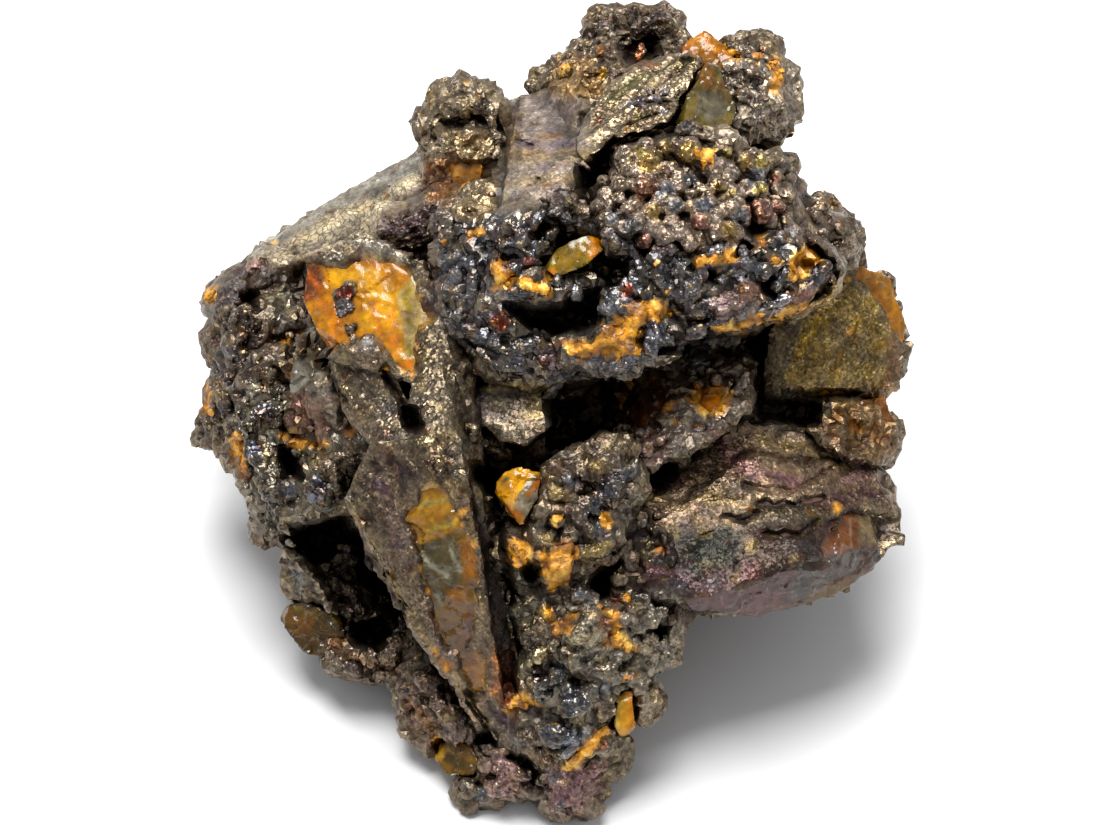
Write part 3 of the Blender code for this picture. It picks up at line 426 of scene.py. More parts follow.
# The coat's colours where it shows, and a few painted glints, highlights and shade: what it is, its colour in
# a middling light, how many pixels its edge takes, and its patches. A later entry lies over the ones before
# it.
COAT_HUES_AND_PAINTED_LIGHT = [
    ("druse of the cap", "#A29284", 16, [CAP]),
    ("steely belt", "#66676C", 16, [
        [(430, 215), (545, 205), (700, 255), (790, 225), (845, 265), (815, 300), (700, 345), (620, 380),
         (540, 390), (440, 330)],
    ]),
    ("plum coat of the blade", "#3A2F2E", 12, [BLADE]),
    ("grey-brown flank", "#5A5148", 10, [FLANK, [(470, 476), (500, 500), (521, 640), (505, 650)]]),
    ("slanted plate", "#887B69", 6, [
        [(602, 82), (618, 78), (640, 62), (685, 58), (698, 52), (680, 95), (662, 124), (615, 134),
         (600, 165), (583, 165), (575, 128), (590, 112)],
    ]),
    ("pale mosaic of the back plate", "#A0957F", 7, BACK_PLATE_MOSAIC),
    ("grey rim of the back plate", "#A7A49B", 4, [
        ([(212, 288), (255, 250), (300, 222), (345, 198), (385, 178), (425, 160), (515, 97)], 12),
    ]),
    ("druse under the wedge", "#5E554B", 10, [UNDER_WEDGE]),
    ("left cluster", "#66625A", 12, [
        [(230, 370), (290, 365), (345, 440), (345, 510), (290, 540), (250, 520), (232, 440)],
    ]),
    ("dark left back", "#43383A", 12, [
        [(200, 280), (262, 250), (285, 270), (280, 350), (240, 400), (205, 445), (190, 440), (220, 350)],
    ]),
    ("striated tan crystals", "#A59276", 4, [
        [(462, 195), (480, 182), (497, 180), (495, 212), (480, 224), (460, 220), (452, 212)],
    ]),
    ("mauve-grey face of the column", "#9A8D87", 5, [
        [(519, 98), (580, 98), (584, 170), (560, 195), (520, 200)],
    ]),
    ("tan face of the column", "#86715C", 4, [[(498, 105), (519, 97), (518, 160), (508, 166), (501, 130)]]),
    ("grey face of the column", "#6E6A66", 5, [[(500, 165), (520, 162), (522, 215), (500, 215)]]),
    ("gold bands of the column", "#937F62", 4, [
        ([(520, 155), (584, 152)], 12), ([(522, 181), (575, 178)], 9), (570, 127, 8),
    ]),
    ("purple bands of the column", "#6C5E66", 4, [
        ([(520, 145), (582, 143)], 9), ([(520, 167), (584, 164)], 7),
    ]),
    ("dark corner of the column", "#3C3430", 4, [
        [(576, 104), (592, 112), (578, 121)], ([(519, 100), (518, 158)], 4),
    ]),
    ("olive streaks of the slanted plate", "#6B6746", 5, [
        ([(612, 96), (650, 72), (690, 62)], 8), (640, 115, 7),
    ]),
    ("lavender flakes", "#A7A2AE", 3, [
        (650, 90, 4), (655, 100, 5), (640, 103, 5), (632, 103, 4), (665, 92, 4), (662, 112, 4),
        (583, 245, 3), (280, 322, 4),
    ]),
    ("copper ridge", "#8E4B34", 3, [([(641, 46), (636, 60)], 9), (652, 66, 5), (600, 120, 5)]),
    ("tan left crown", "#9A7A52", 5, [
        [(545, 90), (552, 70), (575, 50), (594, 60), (606, 96), (592, 98), (570, 96)],
    ]),
    ("gold knobs of the crown", "#B58B3C", 5, [
        (776, 79, 13), (748, 85, 8), (733, 97, 7), (563, 70, 8), (602, 72, 5),
    ]),
    ("knob", "#908370", 8, [[(425, 85), (500, 85), (500, 165), (425, 165)]]),
    ("grey right crown", "#A3988C", 10, [[(718, 50), (800, 50), (800, 135), (725, 135)]]),
    ("tan face of the knob", "#B09A7C", 5, [
        [(446, 133), (460, 130), (488, 131), (490, 158), (465, 162), (452, 155)],
    ]),
    ("pale spot of the knob", "#C4ADA4", 3, [(450, 156, 5), (446, 120, 3)]),
    ("brown under the knob", "#7A4A26", 6, [
        [(425, 160), (448, 158), (458, 190), (450, 208), (428, 200), (420, 180)],
    ]),
    ("blue-grey beads of the cap", "#76797F", 4, [
        (757, 176, 10), (665, 190, 10), (704, 204, 9), (632, 226, 10), (676, 206, 8), (741, 216, 8),
        (690, 179, 7), (612, 215, 8),
    ]),
    ("red-brown beads of the cap", "#8E6258", 4, [
        (646, 189, 11), (761, 211, 12), (775, 207, 9), (700, 222, 9), (775, 178, 7), (645, 240, 8),
    ]),
    ("gold beads of the cap", "#BFA067", 5, [
        (650, 160, 12), (667, 149, 8), (690, 152, 12), (745, 162, 8), (718, 186, 7), (655, 213, 8),
        (730, 231, 9),
    ]),
    ("pale yellow beads of the cap", "#CDBB78", 3, [
        (727, 152, 6), (760, 162, 6), (760, 189, 6), (731, 193, 4), (640, 150, 5),
    ]),
    ("white ledge", "#B9B7BC", 3, [([(706, 250), (715, 245), (727, 249)], 5)]),
    ("smooth grey-brown blocks", "#655F5E", 5, [
        [(676, 300), (708, 300), (710, 342), (676, 342)], (480, 300, 12),
    ]),
    ("pink-grey lump", "#7C6A68", 5, [(727, 305, 17), (545, 362, 8), (556, 360, 9)]),
    ("pink-brown blocks", "#8A6A5E", 5, [
        [(736, 280), (764, 283), (766, 300), (752, 304), (737, 300)],
        [(787, 287), (812, 287), (815, 308), (790, 310)],
    ]),
    ("red-brown lump of the belt", "#8A3A20", 6, [
        (500, 320, 10), (530, 262, 6), (627, 290, 6), (578, 345, 5),
    ]),
    ("silver lens and knob", "#9A98A2", 3, [
        (780, 302, 12), (625, 362, 6), (655, 332, 5), (700, 363, 7), (590, 365, 5),
    ]),
    ("shield", "#5E564E", 5, [
        [(478, 388), (492, 384), (548, 388), (551, 424), (526, 446), (502, 440), (482, 420)],
    ]),
    ("dark edge of the shield", "#463E3A", 5, [
        ([(524, 447), (551, 426)], 6), ([(478, 388), (484, 425), (502, 442)], 5),
    ]),
    ("gold edge of the shield", "#B09C72", 3, [
        ([(484, 390), (510, 386), (546, 390)], 6), ([(536, 400), (540, 420)], 6),
    ]),
    ("peak", "#7A6C62", 7, [
        [(800, 205), (832, 192), (845, 206), (850, 240), (864, 262), (850, 268), (800, 245)],
    ]),
    ("peak's tan ridge", "#A98F73", 4, [([(806, 208), (826, 200), (840, 205)], 6)]),
    ("olive plate", "#8A7446", 8, [
        [(765, 372), (778, 330), (835, 275), (868, 288), (895, 330), (892, 390), (830, 396), (770, 384)],
    ]),
    ("dark left of the olive plate", "#3E3428", 8, [
        [(757, 374), (776, 322), (800, 305), (806, 340), (795, 372), (785, 392)],
    ]),
    ("gold streaks of the olive plate", "#A98A45", 5, [
        ([(835, 292), (800, 350), (790, 380)], 8), ([(866, 300), (846, 352), (830, 388)], 9),
        (880, 345, 9),
    ]),
    ("reddish right of the olive plate", "#8A6248", 6, [([(893, 340), (890, 385)], 12)]),
    ("druse of the large crystal", "#97816F", 10, [
        [(640, 490), (700, 455), (745, 425), (800, 435), (860, 450), (885, 480), (898, 503), (860, 508),
         (820, 520), (760, 530), (700, 520), (655, 525)],
    ]),
    ("plum streaks of the large crystal", "#9A7278", 7, [
        ([(720, 440), (745, 470), (800, 482)], 13), ([(660, 488), (700, 472)], 9), (855, 470, 14),
    ]),
    ("dark band of the large crystal", "#36322E", 6, [
        [(735, 497), (800, 500), (850, 497), (850, 508), (820, 526), (770, 535), (742, 520)],
        [(640, 530), (690, 520), (705, 545), (700, 580), (650, 570)],
    ]),
    ("brown lower band of the large crystal", "#40352F", 8, [
        [(735, 520), (800, 522), (850, 506), (862, 512), (840, 548), (800, 565), (760, 585), (700, 602),
         (645, 600), (645, 565), (690, 575), (744, 556)],
    ]),
    ("green-black face of the large crystal", "#232720", 4, [
        [(702, 536), (727, 524), (742, 545), (744, 556), (702, 578), (684, 560)],
    ]),
    ("plum face of the large crystal", "#644A4B", 6, [
        [(825, 492), (880, 482), (895, 500), (858, 506), (832, 510)],
        [(640, 560), (700, 580), (760, 560), (760, 578), (700, 596), (645, 600)],
    ]),
    ("grey foot of the large crystal", "#55504F", 6, [([(640, 590), (700, 586), (740, 574)], 9)]),
    ("gold grains of the large crystal", "#B09A6C", 4, [
        ([(760, 440), (810, 450), (850, 470)], 7), ([(700, 497), (740, 505)], 5),
        ([(650, 500), (690, 478)], 5),
    ]),
    ("small right crystal", "#6A4A2A", 5, [
        [(815, 425), (840, 403), (885, 395), (894, 420), (893, 455), (868, 458), (840, 448)],
    ]),
    ("tan edge of the small right crystal", "#A08458", 3, [([(838, 405), (868, 400), (892, 418)], 5)]),
    ("grey tongue under the belt", "#7B716E", 7, [
        [(632, 430), (700, 405), (752, 378), (748, 405), (700, 445), (655, 465), (640, 455)],
    ]),
    ("mauve end of the tongue", "#8A6F6C", 5, [(655, 445, 14)]),
    ("grey ledge of the wedge", "#7E7B78", 4, [
        ([(330, 258), (345, 256), (358, 246), (370, 243), (385, 250), (403, 258), (416, 268)], 9),
    ]),
    ("pale end of the ledge", "#BFB8A6", 3, [([(378, 250), (410, 259)], 5)]),
    # Pale edges of the wedge, with a painted highlight along them
    ("white edge of the wedge", "#C8C2B4", 2.5, [
        ([(283, 268), (292, 288), (304, 315), (321, 351)], 4),
        ([(311, 360), (316, 375), (330, 400), (334, 420), (338, 446)], 3.5),
    ]),
    ("cluster's light crystals", "#9C9787", 3, [
        [(268, 300), (280, 286), (292, 282), (300, 300), (298, 312), (285, 318), (270, 316)],
        (252, 388, 6), ([(268, 430), (273, 460), (281, 472)], 6),
    ]),
    ("cluster's cream glints", "#D9D2C4", 2.5, [
        (282, 325, 4), (362, 438, 5), (356, 431, 3), (318, 372, 3), (345, 498, 3),
    ]),
    ("pinkish faces", "#B09088", 4, [
        [(243, 265), (255, 260), (262, 267), (255, 275), (244, 274)], (300, 300, 4),
    ]),
    ("purple-brown prism", "#6B4A48", 5, [
        [(290, 396), (305, 388), (320, 400), (328, 430), (318, 440), (300, 436), (288, 430), (285, 415)],
    ]),
    ("blue-grey lumps", "#5C606C", 4, [
        (318, 492, 13), (262, 411, 9), (252, 449, 8), (457, 475, 6), (330, 465, 8), (290, 489, 8),
        (225, 350, 6),
    ]),
    ("tan flap", "#8F7D68", 4, [
        [(305, 456), (320, 453), (340, 456), (345, 470), (342, 480), (325, 475), (310, 466)],
    ]),
    ("grey plate in the hollow", "#6F6C69", 4, [
        [(284, 556), (299, 556), (312, 576), (334, 602), (325, 611), (308, 607), (298, 590), (286, 564)],
    ]),
    ("light edge of the plate", "#B5B0A6", 2.5, [([(284, 553), (299, 584), (312, 607)], 3)]),
    ("rusty lump", "#84482E", 6, [(316, 645, 11), (303, 632, 7), (338, 642, 8)]),
    ("plum flakes of the hollow", "#6F5A5E", 5, [
        [(345, 600), (378, 610), (380, 622), (358, 622)], (345, 590, 10),
    ]),
    # Painted shade deep in the lower left hollow
    ("dark hollow", "#2E2622", 8, [
        [(300, 530), (345, 525), (380, 560), (402, 610), (400, 640), (375, 640), (345, 625), (330, 560)],
    ]),
    ("lower left growth", "#6C5D57", 8, [
        [(400, 655), (440, 665), (500, 745), (440, 765), (405, 715)],
        [(330, 655), (400, 645), (400, 680), (345, 672)],
    ]),
    ("copper left flank", "#7A5238", 6, [
        ([(408, 700), (432, 732)], 9), ([(345, 655), (392, 668)], 6), (500, 660, 4),
    ]),
    ("plum coat, gold edge", "#A08C6C", 3, [
        ([(350, 502), (366, 532), (396, 592), (440, 656), (470, 701), (497, 738)], 5),
    ]),
    ("plum coat, dark middle", "#54454A", 8, [([(380, 480), (420, 590), (455, 660)], 16)]),
    ("red-brown prism", "#7A3E22", 4, [[(491, 652), (516, 647), (517, 700), (508, 712), (494, 700)]]),
    ("orange foot of the prism", "#B06A2C", 3, [([(496, 655), (500, 668)], 8), (494, 690, 3)]),
    ("dark lower prism", "#46343A", 4, [[(497, 708), (518, 712), (515, 750), (503, 752), (495, 730)]]),
    ("grey-green column", "#6B675A", 6, [
        [(508, 592), (530, 582), (540, 600), (538, 640), (520, 642), (510, 622)],
    ]),
    ("pale mineral in the middle", "#8E8F80", 6, [
        [(508, 556), (530, 570), (528, 590), (508, 588)], (640, 500, 8),
    ]),
    ("gold plates of the middle", "#8E7B55", 6, [
        (560, 495, 12), (602, 470, 10), (600, 545, 12), (590, 555, 10), (548, 538, 8),
    ]),
    ("steel lumps of the middle", "#555962", 6, [
        (612, 487, 12), (596, 508, 11), (633, 470, 12), (600, 530, 9), (570, 480, 8),
    ]),
    ("grey druse of the lower middle", "#857E73", 12, [
        [(540, 600), (680, 590), (680, 660), (640, 720), (600, 760), (530, 740), (515, 660)],
    ]),
    ("cream druse", "#A89F84", 5, [
        (540, 655, 8), (525, 668, 6), (575, 640, 7), (560, 650, 5), (590, 640, 5), (532, 680, 6),
    ]),
    ("smooth steel lumps", "#5C5F66", 6, [
        (548, 681, 16), (575, 700, 16), (556, 733, 17), (605, 690, 10), (640, 602, 9), (580, 593, 8),
        (520, 745, 8),
    ]),
    ("light steel facet", "#8F97A3", 3, [
        [(560, 745), (585, 727), (595, 724), (582, 743), (566, 762), (558, 766)], (560, 668, 5),
    ]),
    ("red-brown lumps of the lower middle", "#7A4636", 5, [
        (603, 624, 7), (565, 628, 5), (616, 600, 6), (600, 742, 7), (612, 726, 6), (632, 708, 4),
    ]),
    ("plum foot", "#8E7072", 7, [[(545, 768), (605, 760), (600, 790), (575, 815), (548, 812)]]),
    ("pink lump of the foot", "#A08480", 6, [
        [(478, 760), (500, 752), (522, 762), (533, 777), (528, 790), (512, 798), (486, 796)],
    ]),
    ("steel end of the foot", "#5E6067", 5, [(480, 795, 9), (470, 784, 6), (560, 805, 6), (553, 775, 6)]),
    ("plum knobs behind the wedge", "#57484A", 8, [
        [(378, 212), (400, 205), (440, 200), (445, 240), (400, 250), (380, 238)],
    ]),
    ("red dome in the wedge", "#6A2A18", 3, [(346, 293, 9)]),
    ("grey glitter in the wedge", "#8B8A8E", 3, [(345, 310, 10), (367, 344, 6), (352, 342, 4)]),
]

# Glassy yellow goethite where it shows
OCHRE = [
    [(488, 262), (500, 258), (512, 270), (515, 285), (505, 290), (495, 286)],
    [(515, 278), (540, 280), (556, 290), (555, 298), (540, 293), (520, 289)],
    [(562, 340), (575, 338), (595, 342), (600, 325), (615, 320), (635, 314), (645, 320), (640, 340),
     (640, 352), (612, 357), (598, 355), (575, 358), (564, 350)],
    [(622, 305), (655, 300), (676, 311), (660, 319), (640, 319)],
    [(786, 262), (800, 246), (813, 246), (821, 259), (812, 268), (798, 281), (789, 273)],
    [(690, 263), (702, 255), (720, 252), (738, 248), (736, 260), (720, 270), (712, 262), (698, 268)],
    [(519, 692), (528, 692), (535, 700), (526, 709), (506, 716), (508, 706)],
    [(552, 628), (560, 620), (568, 612), (577, 612), (574, 622), (566, 632), (556, 633)],
    [(592, 604), (610, 605), (625, 613), (621, 632), (632, 643), (641, 650), (622, 650), (606, 645),
     (606, 636), (613, 622)],
    [(508, 548), (515, 538), (525, 539), (531, 548), (530, 560), (522, 569), (515, 567), (510, 558)],
    [(545, 550), (560, 542), (578, 541), (577, 556), (570, 562), (572, 575), (566, 582), (555, 583),
     (545, 575), (541, 560)],
    [(604, 723), (609, 729), (596, 746), (581, 761), (573, 772), (563, 772), (570, 758), (585, 740)],
    [(690, 385), (716, 384), (732, 394), (722, 412), (702, 416), (692, 404)],
    [(278, 433), (300, 437), (325, 441), (320, 447), (303, 448), (290, 445)],
    [(695, 150), (712, 147), (714, 162), (700, 168)], (470, 237, 6), (775, 260, 6), (547, 615, 6),
    (605, 520, 7), (557, 518, 6), (209, 295, 7), (349, 432, 4), (667, 408, 6), (657, 547, 5),
    (436, 742, 6), (840, 506, 4), (563, 66, 6), ([(775, 64), (780, 78), (774, 90)], 11),
    ([(714, 42), (735, 56)], 9), (760, 56, 6), (600, 52, 3), (480, 232, 4), (445, 240, 4), (626, 598, 4),
    (536, 232, 3), (655, 262, 4), (762, 240, 4), (285, 340, 4),
    ([(716, 326), (735, 329), (752, 321), (776, 318), (806, 303)], 6), ([(209, 391), (205, 412)], 6),
    ([(236, 436), (238, 456), (245, 474)], 9), ([(545, 280), (560, 268), (575, 262)], 5),
    ([(600, 240), (590, 256)], 5), ([(626, 680), (640, 672)], 3), ([(560, 575), (552, 590)], 4),
    ([(440, 655), (452, 672)], 3),
]

# Where the coat has a druse of glittering grains, where it is satin, and where it is polished like steel
DRUSE = [
    CAP,
    BLADE,
    FLANK, UNDER_WEDGE,
    SLANTED_PLATE,
    SHIELD, [(800, 192), (850, 192), (870, 266), (800, 246)],
    [(765, 372), (835, 275), (895, 300), (892, 392), (770, 392)],
    [(640, 490), (745, 425), (865, 450), (900, 505), (800, 522), (650, 530)],
    [(500, 98), (584, 98), (584, 195), (500, 212)],
    [(508, 592), (560, 600), (600, 640), (560, 670), (515, 660)],
    [(435, 95), (495, 95), (495, 165), (440, 165)],
]
SATIN = [COLUMN, BACK_PLATE]
STEEL = [
    [(440, 215), (545, 208), (600, 250), (590, 300), (480, 290)],
    [(447, 315), (545, 320), (560, 370), (500, 382)], [(590, 250), (680, 250), (690, 300), (600, 300)],
    [(640, 318), (672, 320), (680, 350), (640, 358)], (780, 302, 16), (625, 362, 9), (548, 681, 18),
    (575, 700, 18), (556, 733, 18), (700, 320, 20), (318, 492, 14), (612, 487, 14),
    [(745, 240), (845, 240), (840, 285), (760, 285)], (346, 294, 9), (505, 780, 16), (560, 750, 12),
    (245, 320, 14), [(225, 360), (285, 360), (285, 530), (250, 520)], (640, 602, 12), (755, 80, 12),
    (440, 700, 16), (600, 500, 22),
]

# The large crystal's lower band, where no crest is painted pale with wear and highlight
UNLIGHTENED_CRESTS = [
    [(690, 525), (800, 522), (850, 506), (862, 512), (840, 548), (800, 568), (760, 588), (700, 605),
     (645, 602), (645, 565)],
]

# Hues of the fine specks all over the coat, with the width of a speck in mm
SPECKS = [("#44474E", 1.3), ("#5E4038", 1.0), ("#8E7A52", 0.8), ("#2C2420", 1.7)]

# Hues of the sides that the photograph hides, in broad drifts
HIDDEN_HUES = ["#5A5048", "#6A5D50", "#4C4E54", "#5F4D4A", "#77694F", "#4A403A"]

# Quartz: each crystal's own colour, how clear it is, and how broken its faces are
CRYSTALS = {
    "quartz_wedge_left": ("#CC9010", 0.35, 0.5),
    "quartz_blade_front": ("#8A6A2C", 0.5, 1.2),
    "quartz_crystal_right": ("#6E5650", 0.3, 1.0),
    "quartz_plate_right": ("#A87320", 0.35, 1.0),
    "quartz_in_hollow": ("#5A3408", 0.45, 1.2),
    "quartz_small_right": ("#8A5A20", 0.35, 1.2),
    "quartz_wedge_top": ("#86764A", 0.6, 1.3),
    "quartz_peak_top": ("#9A6A1C", 0.3, 1.4),
    "quartz_under_knob": ("#865C0C", 0.4, 0.8),
    "quartz_point_middle": ("#DCA41A", 0.25, 1.4),
    "quartz_prism_left": ("#8F8A7C", 0.6, 0.7),
    "quartz_chip_belt": ("#8A7436", 0.5, 1.0),
    "quartz_chip_left": ("#4E3A1C", 0.4, 1.8),
    "quartz_chip_foot": ("#7A5C1E", 0.45, 1.2),
    "quartz_needle": ("#E0A83C", 0.35, 0.6),
    "quartz_point_back": ("#8A6A38", 0.5, 0.8),
    "quartz_point_back_low": ("#7A5C34", 0.5, 0.8),
}

# The quartz's stains, and a few painted glints and a painted lit side, listed as the coat's colours are
STAINS_AND_PAINTED_LIGHT = [
    ("bright amber", "#E0AC1C", 8, [
        [(330, 268), (375, 266), (395, 290), (385, 330), (360, 330), (365, 290), (330, 290)],
    ]),
    ("deep amber", "#C4800C", 5, [
        ([(318, 300), (340, 320), (330, 345)], 12), ([(372, 300), (380, 330)], 7),
    ]),
    ("dark red corner", "#4E2206", 7, [[(278, 262), (322, 265), (325, 288), (316, 300), (303, 306)]]),
    ("orange on the red corner", "#B8680C", 3, [
        ([(300, 270), (320, 285)], 5), ([(305, 296), (322, 292)], 4),
    ]),
    ("brown under the ledge", "#9A6420", 5, [([(350, 254), (378, 262)], 9)]),
    ("cream end", "#B8A57C", 6, [
        [(395, 298), (418, 270), (442, 320), (420, 328), (418, 378), (405, 376), (402, 332)],
    ]),
    ("olive cracks", "#8C7A3A", 3, [
        ([(412, 275), (406, 300), (412, 330)], 4), ([(408, 340), (412, 368)], 4),
    ]),
    ("orange foot of the cream end", "#D98A12", 4, [(408, 366, 7), (394, 340, 5)]),
    ("amber head of the blade window", "#D09C1C", 6, [
        [(403, 517), (427, 482), (445, 483), (460, 520), (440, 542), (415, 542)],
    ]),
    ("pale veil", "#D9C07A", 3, [([(422, 505), (445, 498)], 6), ([(430, 530), (455, 520)], 5)]),
    ("clear grey-green", "#56503A", 9, [[(418, 542), (460, 535), (466, 590), (440, 600), (425, 590)]]),
    ("white veils", "#B9B5A0", 3, [
        ([(424, 556), (446, 574)], 6), ([(436, 596), (452, 620)], 5), ([(450, 548), (460, 570)], 4),
    ]),
    ("orange facet", "#A06C1A", 8, [
        [(460, 540), (478, 545), (480, 585), (464, 580)],
        [(446, 588), (470, 584), (468, 612), (450, 612)],
    ]),
    ("glassy lower window", "#7C5A1C", 8, [[(436, 604), (474, 604), (466, 652), (440, 652)]]),
    ("dark amber edge", "#6A3A08", 4, [([(474, 606), (466, 648)], 8)]),
    ("lower window", "#B8820E", 5, [BLADE_LOW_WINDOW]),
    ("pinkish underside", "#5E4240", 6, [
        [(640, 600), (760, 578), (800, 562), (790, 600), (730, 625), (660, 630)],
    ]),
    ("grey glass", "#57504A", 4, [
        [(800, 562), (840, 552), (893, 545), (880, 563), (840, 577), (800, 596), (785, 600)],
    ]),
    ("yellow-grey glass", "#6B5632", 5, [[(800, 597), (850, 576), (872, 572), (850, 590), (800, 615)]]),
    ("amber tip", "#6A4226", 8, [[(822, 548), (835, 520), (850, 508), (864, 515), (858, 546)]]),
    ("olive tip", "#74664E", 7, [[(858, 513), (885, 516), (905, 530), (897, 541), (860, 546)]]),
    ("dark cleavage", "#55413A", 3, [([(790, 575), (760, 590)], 4), ([(700, 612), (740, 606)], 4)]),
    ("amber rim", "#B8842A", 4, [([(868, 262), (880, 272), (905, 322), (896, 340)], 14)]),
    ("deep red in the hollow", "#8A3A12", 4, [([(668, 358), (676, 374)], 9)]),
    ("bright amber in the hollow", "#E8960E", 4, [(712, 402, 12), (735, 388, 6), (664, 408, 6)]),
    ("black heart of the hollow", "#2A1804", 5, [(640, 392, 17), (648, 370, 10)]),
    ("white glints", "#E6DDC8", 2, [(657, 402, 2.5), (655, 414, 2.5), (628, 410, 2)]),
    ("dark amber wedge head", "#94661C", 5, [[(694, 55), (712, 54), (718, 84), (705, 90), (690, 75)]]),
    ("grey wedge middle", "#8E8672", 5, [[(700, 90), (722, 92), (728, 112), (712, 122), (695, 112)]]),
    ("olive wedge foot", "#6E6634", 5, [[(660, 122), (700, 116), (722, 128), (712, 136), (690, 134)]]),
    ("bright peak", "#CE8C1C", 4, [([(700, 30), (712, 45), (735, 62)], 7)]),
    ("brown peak", "#8A5218", 4, [([(722, 84), (738, 88)], 8), ([(668, 55), (690, 48)], 6)]),
    ("amber under the knob", "#B07C0E", 4, [([(452, 172), (490, 172)], 14)]),
    ("dark under the knob", "#5A3210", 4, [([(430, 160), (432, 200)], 12)]),
    ("glitter of the middle point", "#66645E", 3, [
        [(524, 482), (540, 470), (544, 500), (530, 520), (510, 514), (518, 496)], (507, 478, 3),
    ]),
    ("brown of the middle point", "#A86408", 4, [
        ([(540, 478), (530, 492)], 6), ([(500, 500), (520, 520)], 5),
    ]),
    ("clear cap of the prism", "#B9B7AC", 5, [[(284, 364), (318, 366), (320, 388), (303, 384), (286, 394)]]),
    ("purple-brown prism body", "#6B4438", 4, [[(286, 398), (320, 398), (330, 436), (288, 432)]]),
    ("peach band", "#E0A060", 3, [[(278, 431), (327, 439), (325, 448), (280, 442)]]),
    ("olive tip of the prism", "#6A6238", 4, [[(284, 330), (308, 318), (308, 345), (290, 350)]]),
    ("olive glass of the chip", "#94762E", 4, [
        [(563, 240), (598, 232), (602, 250), (575, 262), (552, 268)],
    ]),
    ("orange ends of the chip", "#D8922A", 3, [
        ([(597, 238), (592, 256)], 9), ([(541, 270), (556, 276)], 9),
    ]),
    ("glint of the chip", "#F2EEDC", 2, [([(572, 244), (584, 238)], 4)]),
    ("yellow chip", "#C49A22", 3, [[(432, 748), (440, 742), (446, 750), (443, 762), (435, 762)]]),
    ("olive chip", "#4E3C18", 4, [([(450, 758), (474, 768)], 12)]),
    ("ochre shard", "#7E5A1E", 4, [[(278, 613), (286, 602), (318, 608), (312, 630), (292, 632)]]),
    ("olive shard", "#7A6E3C", 3, [([(285, 604), (312, 612)], 4), ([(316, 616), (334, 616)], 5)]),
    # The needle's two sides, painted darker and lighter as the light falls on them
    ("orange side of the needle", "#C97E18", 3, [([(630, 692), (633, 732)], 4)]),
    ("pale side of the needle", "#F2D28A", 3, [([(619, 696), (618, 730)], 4)]),
]


def linear(code):
    """A hex colour as the linear values that a shader takes."""
    found = []
    for start in (1, 3, 5):
        value = int(code[start:start + 2], 16) / 255
        found.append(value / 12.92 if value <= 0.04045 else ((value + 0.055) / 1.055) ** 2.4)
    return (*found, 1.0)


def add_node(tree, kind, settings=None, links=None):
    """Adds a node, sets its properties and sockets, and links its inputs."""
    made = tree.nodes.new(kind)
    for name, value in (settings or {}).items():
        if isinstance(name, str) and hasattr(made, name):
            setattr(made, name, value)
        else:
            made.inputs[name].default_value = value
    for socket, source in (links or {}).items():
        tree.links.new(source, made.inputs[socket])
    return made


def new_object(name, mesh):
    made = bpy.data.objects.new(name, mesh)
    bpy.context.scene.collection.objects.link(made)
    return made


def take_mesh(made):
    """The object's mesh with its modifiers worked in; the object is removed."""
    graph = bpy.context.evaluated_depsgraph_get()
    mesh = bpy.data.meshes.new_from_object(made.evaluated_get(graph))
    bpy.data.objects.remove(made)
    return mesh


def welded_copy(node):
    """A copy of a CAD node's mesh with its loose triangles joined."""
    shape = bmesh.new()
    shape.from_mesh(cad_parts[node].data)
    bmesh.ops.remove_doubles(shape, verts=shape.verts, dist=1e-6)
    mesh = bpy.data.meshes.new(node + "_copy")
    shape.to_mesh(mesh)
    shape.free()
    mesh.materials.clear()
    return mesh


def points_of(mesh):
    places = np.empty(len(mesh.vertices) * 3)
    mesh.vertices.foreach_get("co", places)
    return places.reshape(-1, 3)


def place_points(mesh, places):
    mesh.vertices.foreach_set("co", places.ravel())
    mesh.update()


def edges_of(mesh):
    edges = np.empty(len(mesh.edges) * 2, dtype=np.int32)
    mesh.edges.foreach_get("vertices", edges)
    return edges.reshape(-1, 2)


def normals_of(mesh):
    normals = np.empty(len(mesh.vertices) * 3)
    mesh.vertices.foreach_get("normal", normals)
    return normals.reshape(-1, 3)


def tree_of(mesh):
    return BVHTree.FromPolygons([vertex.co for vertex in mesh.vertices],
                                [polygon.vertices for polygon in mesh.polygons])


def on_picture(places):
    """Picture x and y, and distance towards the viewer in metres, of every place."""
    from_middle = places - np.array(MIDDLE)
    nearer = from_middle @ np.array(NEARER)
    reach = PIXEL * (1 - nearer / EYE_DISTANCE)
    x = PICTURE_MIDDLE[0] + from_middle @ np.array(RIGHT) / reach
    y = PICTURE_MIDDLE[1] - from_middle @ np.array(UP) / reach
    return x, y, nearer


def sight_line(x, y):
    """The direction from the eye through a picture position."""
    across = RIGHT * (x - PICTURE_MIDDLE[0]) * PIXEL + UP * (PICTURE_MIDDLE[1] - y) * PIXEL
    return (across - NEARER * EYE_DISTANCE).normalized()


class Sight:
    """What shows from the photograph's place: how near the surface is behind each picture position."""

    STEP = 5

    def __init__(self, tree):
        across = range(0, FRAME_WIDTH + 1, self.STEP)
        down = range(0, FRAME_HEIGHT + 1, self.STEP)
        self.near = np.full((len(down), len(across)), -1.0)
        for row, y in enumerate(down):
            for column, x in enumerate(across):
                hit = tree.ray_cast(EYE, sight_line(x, y))[0]
                if hit is not None:
                    self.near[row, column] = (hit - MIDDLE).dot(NEARER)

    def shows(self, x, y, nearer, slack=1.6 * MM):
        """How surely each place shows, from 0 to 1."""
        column = np.clip(np.rint(x / self.STEP).astype(int), 0, self.near.shape[1] - 1)
        row = np.clip(np.rint(y / self.STEP).astype(int), 0, self.near.shape[0] - 1)
        behind = self.near[row, column] - nearer
        return np.clip(2.0 - behind / slack, 0, 1)


